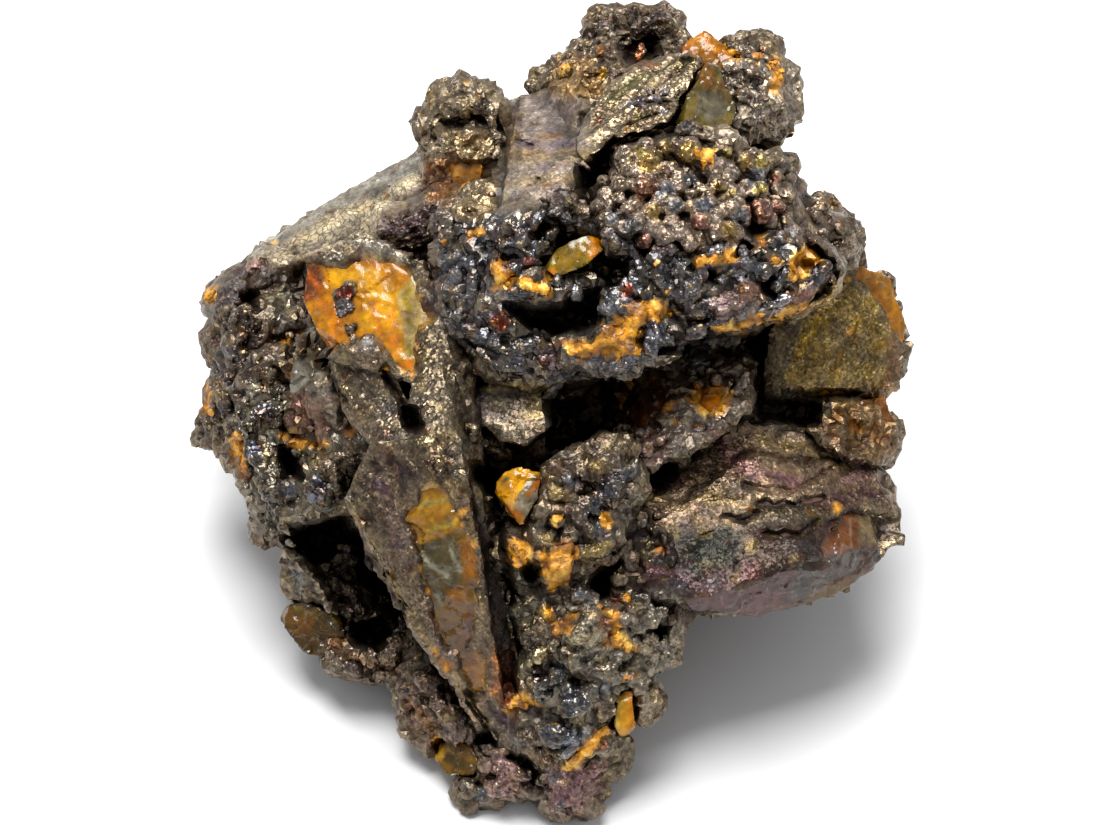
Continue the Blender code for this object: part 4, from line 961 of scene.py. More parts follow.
def near_path(x, y, path):
    """How many pixels each position is from a line through the path's points."""
    nearest = np.full(len(x), 1e9)
    for (x0, y0), (x1, y1) in zip(path, path[1:]):
        run, drop = x1 - x0, y1 - y0
        along = np.clip(((x - x0) * run + (y - y0) * drop) / (run ** 2 + drop ** 2), 0, 1)
        nearest = np.minimum(nearest, np.hypot(x - x0 - along * run, y - y0 - along * drop))
    return nearest


def inside_by(x, y, outline):
    """How many pixels each position lies inside an outline; negative outside."""
    inside = np.zeros(len(x), bool)
    for (x0, y0), (x1, y1) in zip(outline, outline[1:] + outline[:1]):
        if y0 != y1:
            inside ^= ((y0 > y) != (y1 > y)) & (x < (x1 - x0) * (y - y0) / (y1 - y0) + x0)
    nearest = near_path(x, y, outline + outline[:1])
    return np.where(inside, nearest, -nearest)


def patch_weight(x, y, patches, soft):
    """1 well inside any of the patches, 0 well outside; the change takes `soft` pixels."""
    weight = np.zeros(len(x))
    for patch in patches:
        if isinstance(patch, list):
            corners, spread = patch, soft
        elif len(patch) == 3:
            corners, spread = [patch[:2]], patch[2] + soft
        else:
            corners, spread = patch[0], patch[1] + soft
        low = np.min(corners, axis=0) - spread
        high = np.max(corners, axis=0) + spread
        near = np.nonzero((x > low[0]) & (x < high[0]) & (y > low[1]) & (y < high[1]))[0]
        if isinstance(patch, list):
            inside = inside_by(x[near], y[near], patch)
        elif len(patch) == 3:
            inside = patch[2] - np.hypot(x[near] - patch[0], y[near] - patch[1])
        else:
            inside = patch[1] / 2 - near_path(x[near], y[near], patch[0])
        weight[near] = np.maximum(weight[near], np.clip(inside / soft + 0.5, 0, 1))
    return weight


def lattice_value(corners, seed):
    """A random value from 0 to 1 for each whole-number corner."""
    # Large odd factors, then a shift, mix the three whole numbers
    key = corners[:, 0] * 73856093 ^ corners[:, 1] * 19349663 ^ (corners[:, 2] + seed * 101) * 83492791
    key = (key ^ (key >> 13)) * 1274126177 & 0xFFFFFF
    return key / 0xFFFFFF


def shards(places, size, seed):
    """Flat facets of the given size, each tilted its own way: from about -0.6 to 0.6 across a facet."""
    spot = places / size
    corner = np.floor(spot - 0.5).astype(np.int64)
    nearest = np.full(len(places), 9.0)
    height = np.zeros(len(places))
    for step in itertools.product((0, 1), repeat=3):
        cell = corner + step
        draws = np.stack([lattice_value(cell, seed + number) for number in range(6)], axis=1)
        away = spot - cell - 0.25 - 0.5 * draws[:, :3]
        distance = (away ** 2).sum(1)
        closer = distance < nearest
        nearest = np.where(closer, distance, nearest)
        height = np.where(closer, 2 * (away * (draws[:, 3:] - 0.5)).sum(1), height)
    return height


def cloud(places, size, seed):
    """A smooth random value from 0 to 1 at each place, with swells of the given size."""
    spot = places / size + seed * 17.31
    corner = np.floor(spot).astype(np.int64)
    part = spot - corner
    part = part * part * (3 - 2 * part)
    total = np.zeros(len(places))
    for step in itertools.product((0, 1), repeat=3):
        share = np.abs(1 - np.array(step) - part).prod(axis=1)
        total += share * lattice_value(corner + step, 0)
    return total


def ragged(places, x, y, reach=5, size=0.9 * MM):
    """Picture positions shaken a little, so that a patch gets a natural edge."""
    shaken = []
    for seed, value in ((1, x), (2, y)):
        shake = cloud(places, size, seed) + 0.5 * cloud(places, size * 0.4, seed + 2) - 0.75
        shaken.append(value + 2 * reach * shake)
    return shaken


def set_values(mesh, name, values):
    """Keeps one number a vertex under a name, for node trees to read."""
    layer = mesh.attributes.new(name, "FLOAT", "POINT")
    layer.data.foreach_set("value", np.asarray(values, dtype=np.float32))


def set_colours(mesh, name, colours):
    """Keeps one colour a vertex under a name."""
    layer = mesh.attributes.new(name, "FLOAT_COLOR", "POINT")
    four = np.ones((len(colours), 4), dtype=np.float32)
    four[:, :3] = colours
    layer.data.foreach_set("color", four.ravel())


def grain_tree(name, shape, sink, stretch):
    """A tree that strews grains over a surface where an attribute calls for them, a spacing apart or more."""
    tree = bpy.data.node_groups.new(name, "GeometryNodeTree")
    sockets = tree.interface
    sockets.new_socket("Geometry", in_out="INPUT", socket_type="NodeSocketGeometry")
    for length in ("Spacing", "Smallest", "Largest"):
        sockets.new_socket(length, in_out="INPUT", socket_type="NodeSocketFloat")
    sockets.new_socket("Seed", in_out="INPUT", socket_type="NodeSocketInt")
    sockets.new_socket("Material", in_out="INPUT", socket_type="NodeSocketMaterial")
    sockets.new_socket("Geometry", in_out="OUTPUT", socket_type="NodeSocketGeometry")
    given = add_node(tree, "NodeGroupInput").outputs
    where = add_node(tree, "GeometryNodeInputNamedAttribute", {"data_type": "FLOAT", "Name": name})
    points = add_node(tree, "GeometryNodeDistributePointsOnFaces",
                      {"distribute_method": "POISSON", "Density Max": 4e6},
                      {"Mesh": given["Geometry"], "Distance Min": given["Spacing"],
                       "Density Factor": where.outputs["Attribute"], "Seed": given["Seed"]})
    if shape == "ball":
        grain = add_node(tree, "GeometryNodeMeshIcoSphere", {"Radius": 1.0, "Subdivisions": 2})
    else:
        grain = add_node(tree, "GeometryNodeMeshCube", {"Size": (1.5, 1.5, 1.9)})
    size = add_node(tree, "FunctionNodeRandomValue", {"data_type": "FLOAT"},
                    {2: given["Smallest"], 3: given["Largest"], "Seed": given["Seed"]})
    uneven = add_node(tree, "FunctionNodeRandomValue", {"data_type": "FLOAT_VECTOR", 0: (0.8, 0.8, 0.8),
                                                        1: (1.0, 1.2, stretch)}, {"Seed": given["Seed"]})
    scale = add_node(tree, "ShaderNodeVectorMath", {"operation": "SCALE"},
                     {0: uneven.outputs[0], "Scale": size.outputs[1]})
    turn = add_node(tree, "FunctionNodeRandomValue", {"data_type": "FLOAT_VECTOR", 0: (0.0, 0.0, 0.0),
                                                      1: (math.tau, math.tau, math.tau)},
                    {"Seed": given["Seed"]})
    down = add_node(tree, "ShaderNodeMath", {"operation": "MULTIPLY", 1: -sink}, {0: size.outputs[1]})
    lowered = add_node(tree, "ShaderNodeVectorMath", {"operation": "SCALE"},
                       {0: points.outputs["Normal"], "Scale": down.outputs[0]})
    sunk = add_node(tree, "GeometryNodeSetPosition", {}, {"Geometry": points.outputs["Points"],
                                                         "Offset": lowered.outputs[0]})
    placed = add_node(tree, "GeometryNodeInstanceOnPoints", {},
                      {"Points": sunk.outputs[0], "Instance": grain.outputs["Mesh"],
                       "Rotation": turn.outputs[0], "Scale": scale.outputs[0]})
    real = add_node(tree, "GeometryNodeRealizeInstances", {}, {0: placed.outputs[0]})
    finished = add_node(tree, "GeometryNodeSetMaterial", {},
                        {"Geometry": real.outputs[0], "Material": given["Material"]})
    add_node(tree, "NodeGroupOutput", {}, {0: finished.outputs[0]})
    return tree


def strewn(mesh, name, shape, spacing_mm, sizes_mm, seed, sink=0.3, stretch=1.2):
    """Grains on a mesh, as a mesh of their own."""
    body = new_object("tree_body", mesh)
    step = body.modifiers.new("tree", "NODES")
    step.node_group = grain_tree(name, shape, sink, stretch)
    smallest, largest = sizes_mm
    values = {"Spacing": spacing_mm * MM, "Smallest": smallest * MM, "Largest": largest * MM, "Seed": seed}
    for item in step.node_group.interface.items_tree:
        if item.in_out == "INPUT" and item.name in values:
            step[item.identifier] = values[item.name]
    return take_mesh(body)


def joined(meshes):
    """One mesh of several."""
    shape = bmesh.new()
    for mesh in meshes:
        shape.from_mesh(mesh)
    result = bpy.data.meshes.new("joined")
    shape.to_mesh(result)
    shape.free()
    return result


def remeshed(mesh, cell):
    """One closed skin round everything in the mesh, from cells of the given size."""
    body = new_object("remesh_body", mesh)
    step = body.modifiers.new("fuse", "REMESH")
    step.mode = "VOXEL"
    step.voxel_size = cell
    step.use_smooth_shade = True
    return take_mesh(body)


def thinned(mesh, triangles):
    """The mesh with at most that many triangles, thinned where the shape loses least."""
    body = new_object("thin_body", mesh)
    body.modifiers.new("triangles", "TRIANGULATE")
    thin = body.modifiers.new("thin", "DECIMATE")
    thin.ratio = min(1.0, triangles / (2 * len(mesh.polygons)))
    return take_mesh(body)


def billow(places, size, seed):
    """Rounded swells that meet in sharp creases, from about -0.1 in a crease to 0.4 on a crest."""
    return 0.4 - np.abs(cloud(places, size, seed) - 0.5) * 1.6


def roughen(mesh, rough, swell, knob, facet):
    """Raises swells, knobs and facets by the given heights in millimetres where `rough` is 1. Swells of a
    negative height are sharp ridges."""
    places = points_of(mesh)
    rise = swell * billow(places, 1.7 * MM, 51) + knob * billow(places, 0.75 * MM, 52)
    rise += facet * (shards(places, 0.85 * MM, 53) + 0.5 * shards(places, 0.4 * MM, 54))
    place_points(mesh, places + normals_of(mesh) * (rise * rough * MM)[:, None])


def mark_growth_lines(mesh, shown):
    """Raises growth lines along the coated crystal faces."""
    places = points_of(mesh)
    x, y, _ = on_picture(places)
    rise = np.zeros(len(places))
    for number, (patch, degrees, spacing, height) in enumerate(STRIAE):
        along = math.cos(math.radians(degrees)) * x - math.sin(math.radians(degrees)) * y
        across = math.sin(math.radians(degrees)) * x + math.cos(math.radians(degrees)) * y
        lines = cloud(np.stack([along / 7, across, 0 * x], axis=1), spacing, 80 + number)
        lines += 0.5 * cloud(np.stack([along / 4, across, 0 * x], axis=1), spacing * 0.45, 90 + number)
        rise += height * (lines - 0.75) * patch_weight(x, y, [patch], 10)
    place_points(mesh, places + normals_of(mesh) * (rise * shown * MM)[:, None])


def unit_ball():
    """The points and faces of a fine ball of radius 1."""
    shape = bmesh.new()
    bmesh.ops.create_icosphere(shape, subdivisions=3, radius=1.0)
    points = np.array([vertex.co for vertex in shape.verts])
    faces = np.array([[vertex.index for vertex in face.verts] for face in shape.faces])
    shape.free()
    return points, faces


def lump_shape(points, kind, seed):
    """A ball's points, made uneven or squarish."""
    if kind == "block":
        return 0.88 * points / ((np.abs(points) ** 5).sum(1) ** 0.2)[:, None]
    uneven, pitted = (0.3, 0.25) if kind == "bead" else (0.7, 0.3)
    if kind != "bead":
        turn = np.array(Euler((seed * 1.7, seed * 2.3, seed * 0.9)).to_matrix())
        squarish = points @ turn
        squarish = 0.93 * squarish / ((np.abs(squarish) ** 3.2).sum(1) ** (1 / 3.2))[:, None]
        points = squarish @ turn.T
    bulge = 1 - 0.55 * uneven + uneven * cloud(points, 1.0, seed)
    bulge += pitted * (cloud(points, 0.42, seed + 3) - 0.5)
    return points * bulge[:, None]


def foothold(tree, x, y):
    """Where the line of sight through a picture position meets the rock, stepping inwards past its rim."""
    for step in range(6):
        hit = tree.ray_cast(EYE, sight_line(x, y))[0]
        if hit is not None:
            return hit
        away = Vector((PICTURE_MIDDLE[0] - x, PICTURE_MIDDLE[1] - y)).normalized() * 4
        x, y = x + away.x, y + away.y
    return None


def growth_mesh(growth, tree, number):
    """A growth's lumps, each set where the line of sight through its place meets the rock."""
    draw = random.Random(number)
    ball, faces = unit_ball()
    entries = [(kind, entry, rise) for kind, rise in LUMP_RISE.items() for entry in growth.get(kind, [])]
    for path, radius in growth.get("ridge", []):
        for (x0, y0), (x1, y1) in zip(path, path[1:]):
            steps = max(1, round(math.hypot(x1 - x0, y1 - y0) / (0.6 * radius)))
            for step in range(steps):
                share = step / steps
                spot = (x0 + share * (x1 - x0), y0 + share * (y1 - y0), radius * draw.uniform(0.85, 1.15))
                entries.append(("lump", spot, RIDGE_RISE))
    points, sides = [], []
    for index, (kind, entry, rise) in enumerate(entries):
        hit = foothold(tree, entry[0], entry[1])
        if hit is None:
            continue
        long, short, turn = (entry[2], entry[2], draw.uniform(0, 180)) if len(entry) == 3 else entry[2:]
        pixel = PIXEL * (1 - (hit - MIDDLE).dot(NEARER) / EYE_DISTANCE)
        sizes = np.array([long, short, (long + short) / 2]) * pixel
        if kind != "bead":
            sizes *= [draw.uniform(0.95, 1.3), draw.uniform(0.75, 1.05), draw.uniform(0.75, 1.1)]
        angle = math.radians(turn)
        across = RIGHT * math.cos(angle) + UP * math.sin(angle)
        lean = draw.uniform(-0.5, 0.5) if kind == "block" else 0.0
        outward = (NEARER + across.cross(NEARER) * lean).normalized()
        axes = np.array([across, outward.cross(across), outward])
        middle = np.array(hit + NEARER * rise * float(sizes.min()))
        points.append((lump_shape(ball, kind, number * 100 + index) * sizes) @ axes + middle)
        sides.append(faces + index_offset(points))
    mesh = bpy.data.meshes.new("growth")
    mesh.from_pydata(np.concatenate(points).tolist(), [], np.concatenate(sides).tolist())
    return mesh


def index_offset(points):
    """How many points come before the last group."""
    return sum(len(group) for group in points[:-1])


def grown(growth, tree, number):
    """A growth fused into one skin, with small granules strewn over it here and there."""
    lumps = growth_mesh(growth, tree, number)
    cell = growth["cell"] * MM
    coarse = remeshed(lumps.copy(), 2 * cell)
    drift = cloud(points_of(coarse), 1.8 * MM, number)
    set_values(coarse, "granules", np.clip(drift * 4 - 3.4 + 2.6 * growth["granules"], 0, 1))
    granules = strewn(coarse, "granules", "ball", 0.7, (0.12, 0.3), number, sink=0.2)
    skin = remeshed(joined([lumps, granules]), cell)
    place_points(skin, settle(points_of(skin), edges_of(skin), growth["fused"]))
    roughen(skin, 1.0, *growth["relief"])
    return thinned(skin, ROCK_TRIANGLES)


def swollen(mesh, thickness):
    """A convex mesh made bigger by about the thickness on every side. Its corners move 1.25 times as far,
    because their normals slant."""
    for vertex, place in [(vertex, vertex.co + vertex.normal * thickness * 1.25) for vertex in mesh.vertices]:
        vertex.co = place
    mesh.update()
    return mesh


def shrink_inside(places, crystal, depth):
    """Places moved inwards by about the depth, each of the crystal's three main directions in proportion."""
    corners = points_of(crystal)
    middle = (corners.min(0) + corners.max(0)) / 2
    _, axes = np.linalg.eigh(np.cov((corners - corners.mean(0)).T))
    along = (corners - middle) @ axes
    centre = (along.min(0) + along.max(0)) / 2
    half = (along.max(0) - along.min(0)) / 2
    share = np.maximum(0.3, 1 - depth / half)
    return middle + (centre + ((places - middle) @ axes - centre) * share) @ axes.T


def open_windows(skin):
    """Sinks the coat into each coated crystal where the quartz shows; an amber crystal stains the rim."""
    places = points_of(skin)
    x, y, _ = on_picture(places)
    wavy_x, wavy_y = ragged(places, x, y, 3, 0.7 * MM)
    edges = edges_of(skin)
    open_here, stained = np.zeros(len(places)), np.zeros(len(places))
    for name, patches in WINDOWS.items():
        crystal = welded_copy(name)
        tree = tree_of(crystal)
        weight = patch_weight(wavy_x, wavy_y, patches, 2)
        for index in np.nonzero(weight > 0)[0]:
            place = Vector(places[index])
            spot, normal, _, gap = tree.find_nearest(place, 3 * COAT_THICKNESS)
            facing = 0.0
            if spot is not None:
                facing = min(1.0, max(0.0, 1.6 + 4.0 * normal.dot((EYE - place).normalized())))
                facing *= min(1.0, (3 - gap / COAT_THICKNESS) / 1.2)
            weight[index] *= facing
        weight = settle(weight[:, None], edges, 3)[:, 0]
        weight = np.clip(weight * 1.6 - 0.3, 0, 1)
        near = np.nonzero(weight > 0)[0]
        sunk = shrink_inside(places[near], crystal, COAT_THICKNESS + WINDOW_DEPTH)
        places[near] += (sunk - places[near]) * weight[near, None]
        open_here = np.maximum(open_here, weight)
        if name != "quartz_crystal_right":
            stained = np.maximum(stained, weight)
    place_points(skin, places)
    set_values(skin, "window", stained)
    return open_here


def sink_hollows(mesh, sight):
    """Pushes the rock away from the viewer where the photograph shows hollows and cracks."""
    places = points_of(mesh)
    x, y, nearer = on_picture(places)
    shown = sight.shows(x, y, nearer, 1.2 * MM)
    wavy_x, wavy_y = ragged(places, x, y, 3, 0.8 * MM)
    for patch, depth in HOLLOWS:
        soft = min(10, 4 + 1.6 * depth)
        weight = patch_weight(wavy_x, wavy_y, [patch], soft) * shown
        moved = np.nonzero(weight > 0)[0]
        away = places[moved] - np.array(EYE)
        away /= np.linalg.norm(away, axis=1)[:, None]
        places[moved] += away * (depth * MM * weight[moved])[:, None]
    places[:, 2] = np.maximum(places[:, 2], 0.0)
    place_points(mesh, places)


def rock_core():
    """The limonite's own skin, coats included, with lumps strewn over the sides that the photograph hides."""
    coats = [swollen(welded_copy(name), COAT_THICKNESS) for name in WINDOWS]
    solid = joined([welded_copy("limonite_mass"), *coats])
    form = remeshed(solid.copy(), FORM_CELL)
    form_tree = tree_of(form)
    x, y, nearer = on_picture(points_of(form))
    hidden = 1 - Sight(form_tree).shows(x, y, nearer, 2.5 * MM)
    drift = cloud(points_of(form), 7.0 * MM, 9)
    set_values(form, "beaded", hidden * np.clip(drift * 3 - 1.2, 0, 1))
    set_values(form, "lumpy", hidden * np.clip(2.0 - drift * 3, 0, 1))
    balls = strewn(form.copy(), "beaded", "ball", 1.1, (0.45, 0.95), 3, sink=0.1)
    ropes = strewn(form.copy(), "lumpy", "ball", 1.6, (0.5, 1.1), 5, sink=0.2, stretch=1.9)
    blocks = strewn(form.copy(), "lumpy", "block", 2.8, (0.4, 0.9), 6, sink=0.4)
    core = remeshed(joined([solid, balls, ropes, blocks]), ROCK_CELL)
    sight = Sight(tree_of(core))
    open_here = open_windows(core)
    x, y, nearer = on_picture(points_of(core))
    shown = sight.shows(x, y, nearer)
    plain = patch_weight(x, y, PLAIN, 8) * shown
    roughen(core, (1 - 0.7 * plain) * (1 - open_here), 0.9, 0.6, 0.2)
    mark_growth_lines(core, shown * (1 - open_here))
    sink_hollows(core, sight)
    return thinned(core, ROCK_TRIANGLES), form_tree


def settle(values, edges, rounds):
    """Values evened out over the mesh, each round taking the mean of every vertex and its neighbours."""
    count = len(values)
    links = np.bincount(edges.ravel(), minlength=count) + 1.0
    for _ in range(rounds):
        total = values.copy()
        for axis in range(values.shape[1]):
            total[:, axis] += np.bincount(edges[:, 0], weights=values[edges[:, 1], axis], minlength=count)
            total[:, axis] += np.bincount(edges[:, 1], weights=values[edges[:, 0], axis], minlength=count)
        values = total / links[:, None]
    return values


def relief_of(mesh):
    """How far each vertex stands out of, or lies in, its neighbourhood: finely and broadly, from -1 to 1."""
    edges = edges_of(mesh)
    places = points_of(mesh)
    normals = normals_of(mesh)
    fine = settle(places, edges, 5)
    broad = settle(fine, edges, 30)
    crest = np.clip(((places - fine) * normals).sum(1) / (0.05 * MM), -1, 1)
    height = np.clip(((places - broad) * normals).sum(1) / (0.30 * MM), -1, 1)
    return crest, height


def openness_of(meshes, tree, cell=0.36 * MM, rays=9, reach=7 * MM):
    """How much of the outside each vertex sees, from 0 in a deep hollow to 1 in the open, found once for
    each cell by rays in evenly spread directions."""
    ways = []
    for step in range(rays * 2):
        height = 1 - (step + 0.5) / rays
        ring = math.sqrt(1 - height * height)
        turn = GOLDEN_ANGLE * step
        ways.append(Vector((math.cos(turn) * ring, math.sin(turn) * ring, height)))
    found = []
    for mesh in meshes:
        places = points_of(mesh)
        keys = np.floor(places / cell).astype(np.int64)
        keys = (keys[:, 0] * 4096 + keys[:, 1]) * 4096 + keys[:, 2]
        _, first, where = np.unique(keys, return_index=True, return_inverse=True)
        values = np.empty(len(first))
        for number, index in enumerate(first):
            vertex = mesh.vertices[index]
            start = vertex.co + vertex.normal * 0.15 * MM
            tried = [way for way in ways if way.dot(vertex.normal) > 0.1]
            seen = sum(tree.ray_cast(start, way, reach)[0] is None for way in tried)
            values[number] = seen / max(1, len(tried))
        found.append(settle(values[where.ravel()][:, None], edges_of(mesh), 2)[:, 0])
    return found


def even_colour(code, count):
    """One colour for that many vertices."""
    return np.tile(np.array(linear(code)[:3]), (count, 1))


def richer(colours, factor):
    """Colours moved away from their own grey."""
    grey = colours.mean(1)[:, None]
    return np.maximum(0, grey + (colours - grey) * factor)


def blend(colours, code, weight):
    """Lays a colour over the others by its weight at each vertex."""
    return colours + (np.array(linear(code)[:3]) - colours) * weight[:, None]


def paint_rock(mesh, sight, openness):
    """Works out the limonite's colour, polish and druse at each vertex: as seen on the front, and in drifts
    of the same hues on the hidden sides."""
    places = points_of(mesh)
    x, y, nearer = on_picture(places)
    shown = sight.shows(x, y, nearer, 2.2 * MM)
    wavy_x, wavy_y = ragged(places, x, y, 3)
    crest, height = relief_of(mesh)
    colours = even_colour("#6A5F55", len(places))
    for number, code in enumerate(HIDDEN_HUES):
        drift = np.clip((cloud(places, 4.5 * MM, 20 + number) - 0.52) * 6, 0, 1)
        colours = blend(colours, code, drift * (1 - 0.75 * shown))
    for _, code, soft, patches in COAT_HUES_AND_PAINTED_LIGHT:
        colours = blend(colours, code, 0.92 * patch_weight(wavy_x, wavy_y, patches, soft) * shown)
    for number, (code, size) in enumerate(SPECKS):
        drift = np.clip((cloud(places, size * MM, 30 + number) - 0.62) * 5, 0, 1)
        colours = blend(colours, code, 0.45 * drift)
    mottle = 0.62 * cloud(places, 0.5 * MM, 35) + 0.38 * cloud(places, 0.22 * MM, 36)
    colours = richer(colours, 1.25) * (0.20 + 0.88 * mottle)[:, None]

    # The back plate is brighter; crests get pale wear and a painted highlight, and creases painted shade
    mosaic = patch_weight(x, y, BACK_PLATE_MOSAIC, 8) * shown
    colours = np.minimum(0.9, colours * (1 + 1.1 * mosaic)[:, None])
    # Pale wear and painted highlight on crests and on the tops of broad swells
    worn = 0.13 * (1 - patch_weight(x, y, UNLIGHTENED_CRESTS, 8) * shown)
    colours = blend(colours, "#C9B48C", worn * np.clip(crest * 1.2 + 0.5 * height - 0.5, 0, 1))
    # Painted shade in creases and low places
    colours = blend(colours, "#150E0A", 0.6 * np.clip(-0.15 - 0.8 * height - 0.3 * crest, 0, 1))

    # Glassy ochre, brown at its edge, where it is listed, round the amber windows and here and there behind
    hidden_ochre = np.clip((cloud(places, 3.2 * MM, 41) - 0.8) * 9, 0, 1) * (1 - shown)
    glow = patch_weight(wavy_x, wavy_y, OCHRE, 7) * shown
    window = np.zeros(len(places), dtype=np.float32)
    if "window" in mesh.attributes:
        mesh.attributes["window"].data.foreach_get("value", window)
    fine = cloud(places, 0.55 * MM, 42) * 0.6 + cloud(places, 0.25 * MM, 43) * 0.4 - 0.5
    share = np.maximum(np.maximum(glow, hidden_ochre), window) + 1.4 * fine
    colours = blend(colours, "#3E1C08", np.clip((share - 0.3) * 6, 0, 1))
    ochre = np.clip((share - 0.46) * 9, 0, 1)
    warm = cloud(places, 0.9 * MM, 44)
    shades = blend(even_colour("#C98A1C", len(places)), "#7A4A0C", np.clip(warm * 4 - 1.9, 0, 1))
    shades = blend(shades, "#E8BE5A", np.clip(1.4 - warm * 4, 0, 1))
    shades = shades * (0.6 + 0.8 * mottle)[:, None]
    colours += (shades - colours) * ochre[:, None]

    # Painted shade in deep hollows, by how little of the outside they see
    closed = np.clip((0.62 - openness) / 0.5, 0, 0.88)
    colours = blend(colours, "#1C130D", 0.78 * closed * (1 - 0.35 * ochre))
    set_colours(mesh, "coat", np.clip(colours, 0, 1))

    # How steely, sparkling and dull each place is
    steel_drift = 0.6 * np.clip(cloud(places, 2.5 * MM, 46) * 4 - 2.3, 0, 1)
    steel = np.maximum(patch_weight(wavy_x, wavy_y, STEEL, 10) * shown, steel_drift)
    druse = np.maximum(0.8 * patch_weight(wavy_x, wavy_y, DRUSE, 14) * shown, 0.45) * (1 - 0.6 * steel)
    satin = patch_weight(x, y, SATIN, 10) * shown
    druse *= 1 - 0.65 * satin
    druse *= 0.55 + 0.45 * np.clip(cloud(places, 2.2 * MM, 48) * 3 - 1, 0, 1)
    polish = np.clip(steel + 0.3 * np.clip(height, 0, 1), 0, 1)
    metal = (0.5 + 0.35 * polish + 0.3 * druse - 0.3 * satin).clip(0, 1) * (1 - ochre)
    set_values(mesh, "mosaic", mosaic)
    # Painted shade in hollows also takes away druse and makes them fully metallic, so that they reflect dark
    set_values(mesh, "druse", druse * (1 - ochre) * (1 - 0.8 * closed))
    set_values(mesh, "metal", metal + (1 - metal) * closed)
    uneven = 0.14 * (cloud(places, 0.8 * MM, 47) - 0.5)
    set_values(mesh, "dull", 0.46 - 0.17 * polish + uneven + 0.06 * ochre + 0.1 * satin)


def crystal_skin(name):
    """A crystal with chips off its edges and corners, and with broken, uneven faces."""
    skin = remeshed(welded_copy(name), CRYSTAL_CELL)
    places = points_of(skin)
    middle = (places.min(0) + places.max(0)) / 2
    draw = random.Random(len(name) * 7)
    for _ in range(CHIPS):
        way = np.array([draw.gauss(0, 1) for _ in range(3)])
        way /= np.linalg.norm(way)
        reach = (places - middle) @ way
        limit = reach.max() - draw.uniform(0.2, 0.9) * CHIP_SHARE * (reach.max() - reach.min())
        places -= np.maximum(0, reach - limit)[:, None] * way
    place_points(skin, places)
    broken = CRYSTALS[name][2]
    worn = 0.2 * shards(places, 2.6 * MM, 61) + 0.11 * broken * shards(places, 1.1 * MM, 62)
    place_points(skin, places + normals_of(skin) * (worn * MM)[:, None])
    return skin


def paint_crystal(mesh, name, sight, openness):
    """Works out the quartz's colour at each vertex: stained by iron, veiled, cracked, and with painted shade
    in hollows.
    """
    places = points_of(mesh)
    x, y, nearer = on_picture(places)
    shown = sight.shows(x, y, nearer, 1.6 * MM)
    wavy_x, wavy_y = ragged(places, x, y, 3, 0.7 * MM)
    colours = even_colour(CRYSTALS[name][0], len(places))
    for _, code, soft, patches in STAINS_AND_PAINTED_LIGHT:
        colours = blend(colours, code, 0.92 * patch_weight(wavy_x, wavy_y, patches, soft) * shown)
    veil = cloud(places, 1.3 * MM, 71) * 0.6 + cloud(places, 0.45 * MM, 72) * 0.4
    colours = richer(colours, 1.4) * (0.2 + 1.2 * veil)[:, None]
    crack = np.abs(cloud(places, 1.6 * MM, 73) - 0.5)
    colours = blend(colours, "#FFF0C8", 0.12 * np.clip(1 - crack / 0.03, 0, 1))
    stain = np.clip((cloud(places, 1.1 * MM, 74) - 0.6) * 4, 0, 1)
    colours = blend(colours, "#5A2A08", 0.4 * stain)
    # Painted shade where the crystal sees little of the outside
    colours = blend(colours, "#140A04", 0.8 * np.clip((0.5 - openness) / 0.5, 0, 1))
    set_colours(mesh, "stain", np.clip(colours, 0, 1))


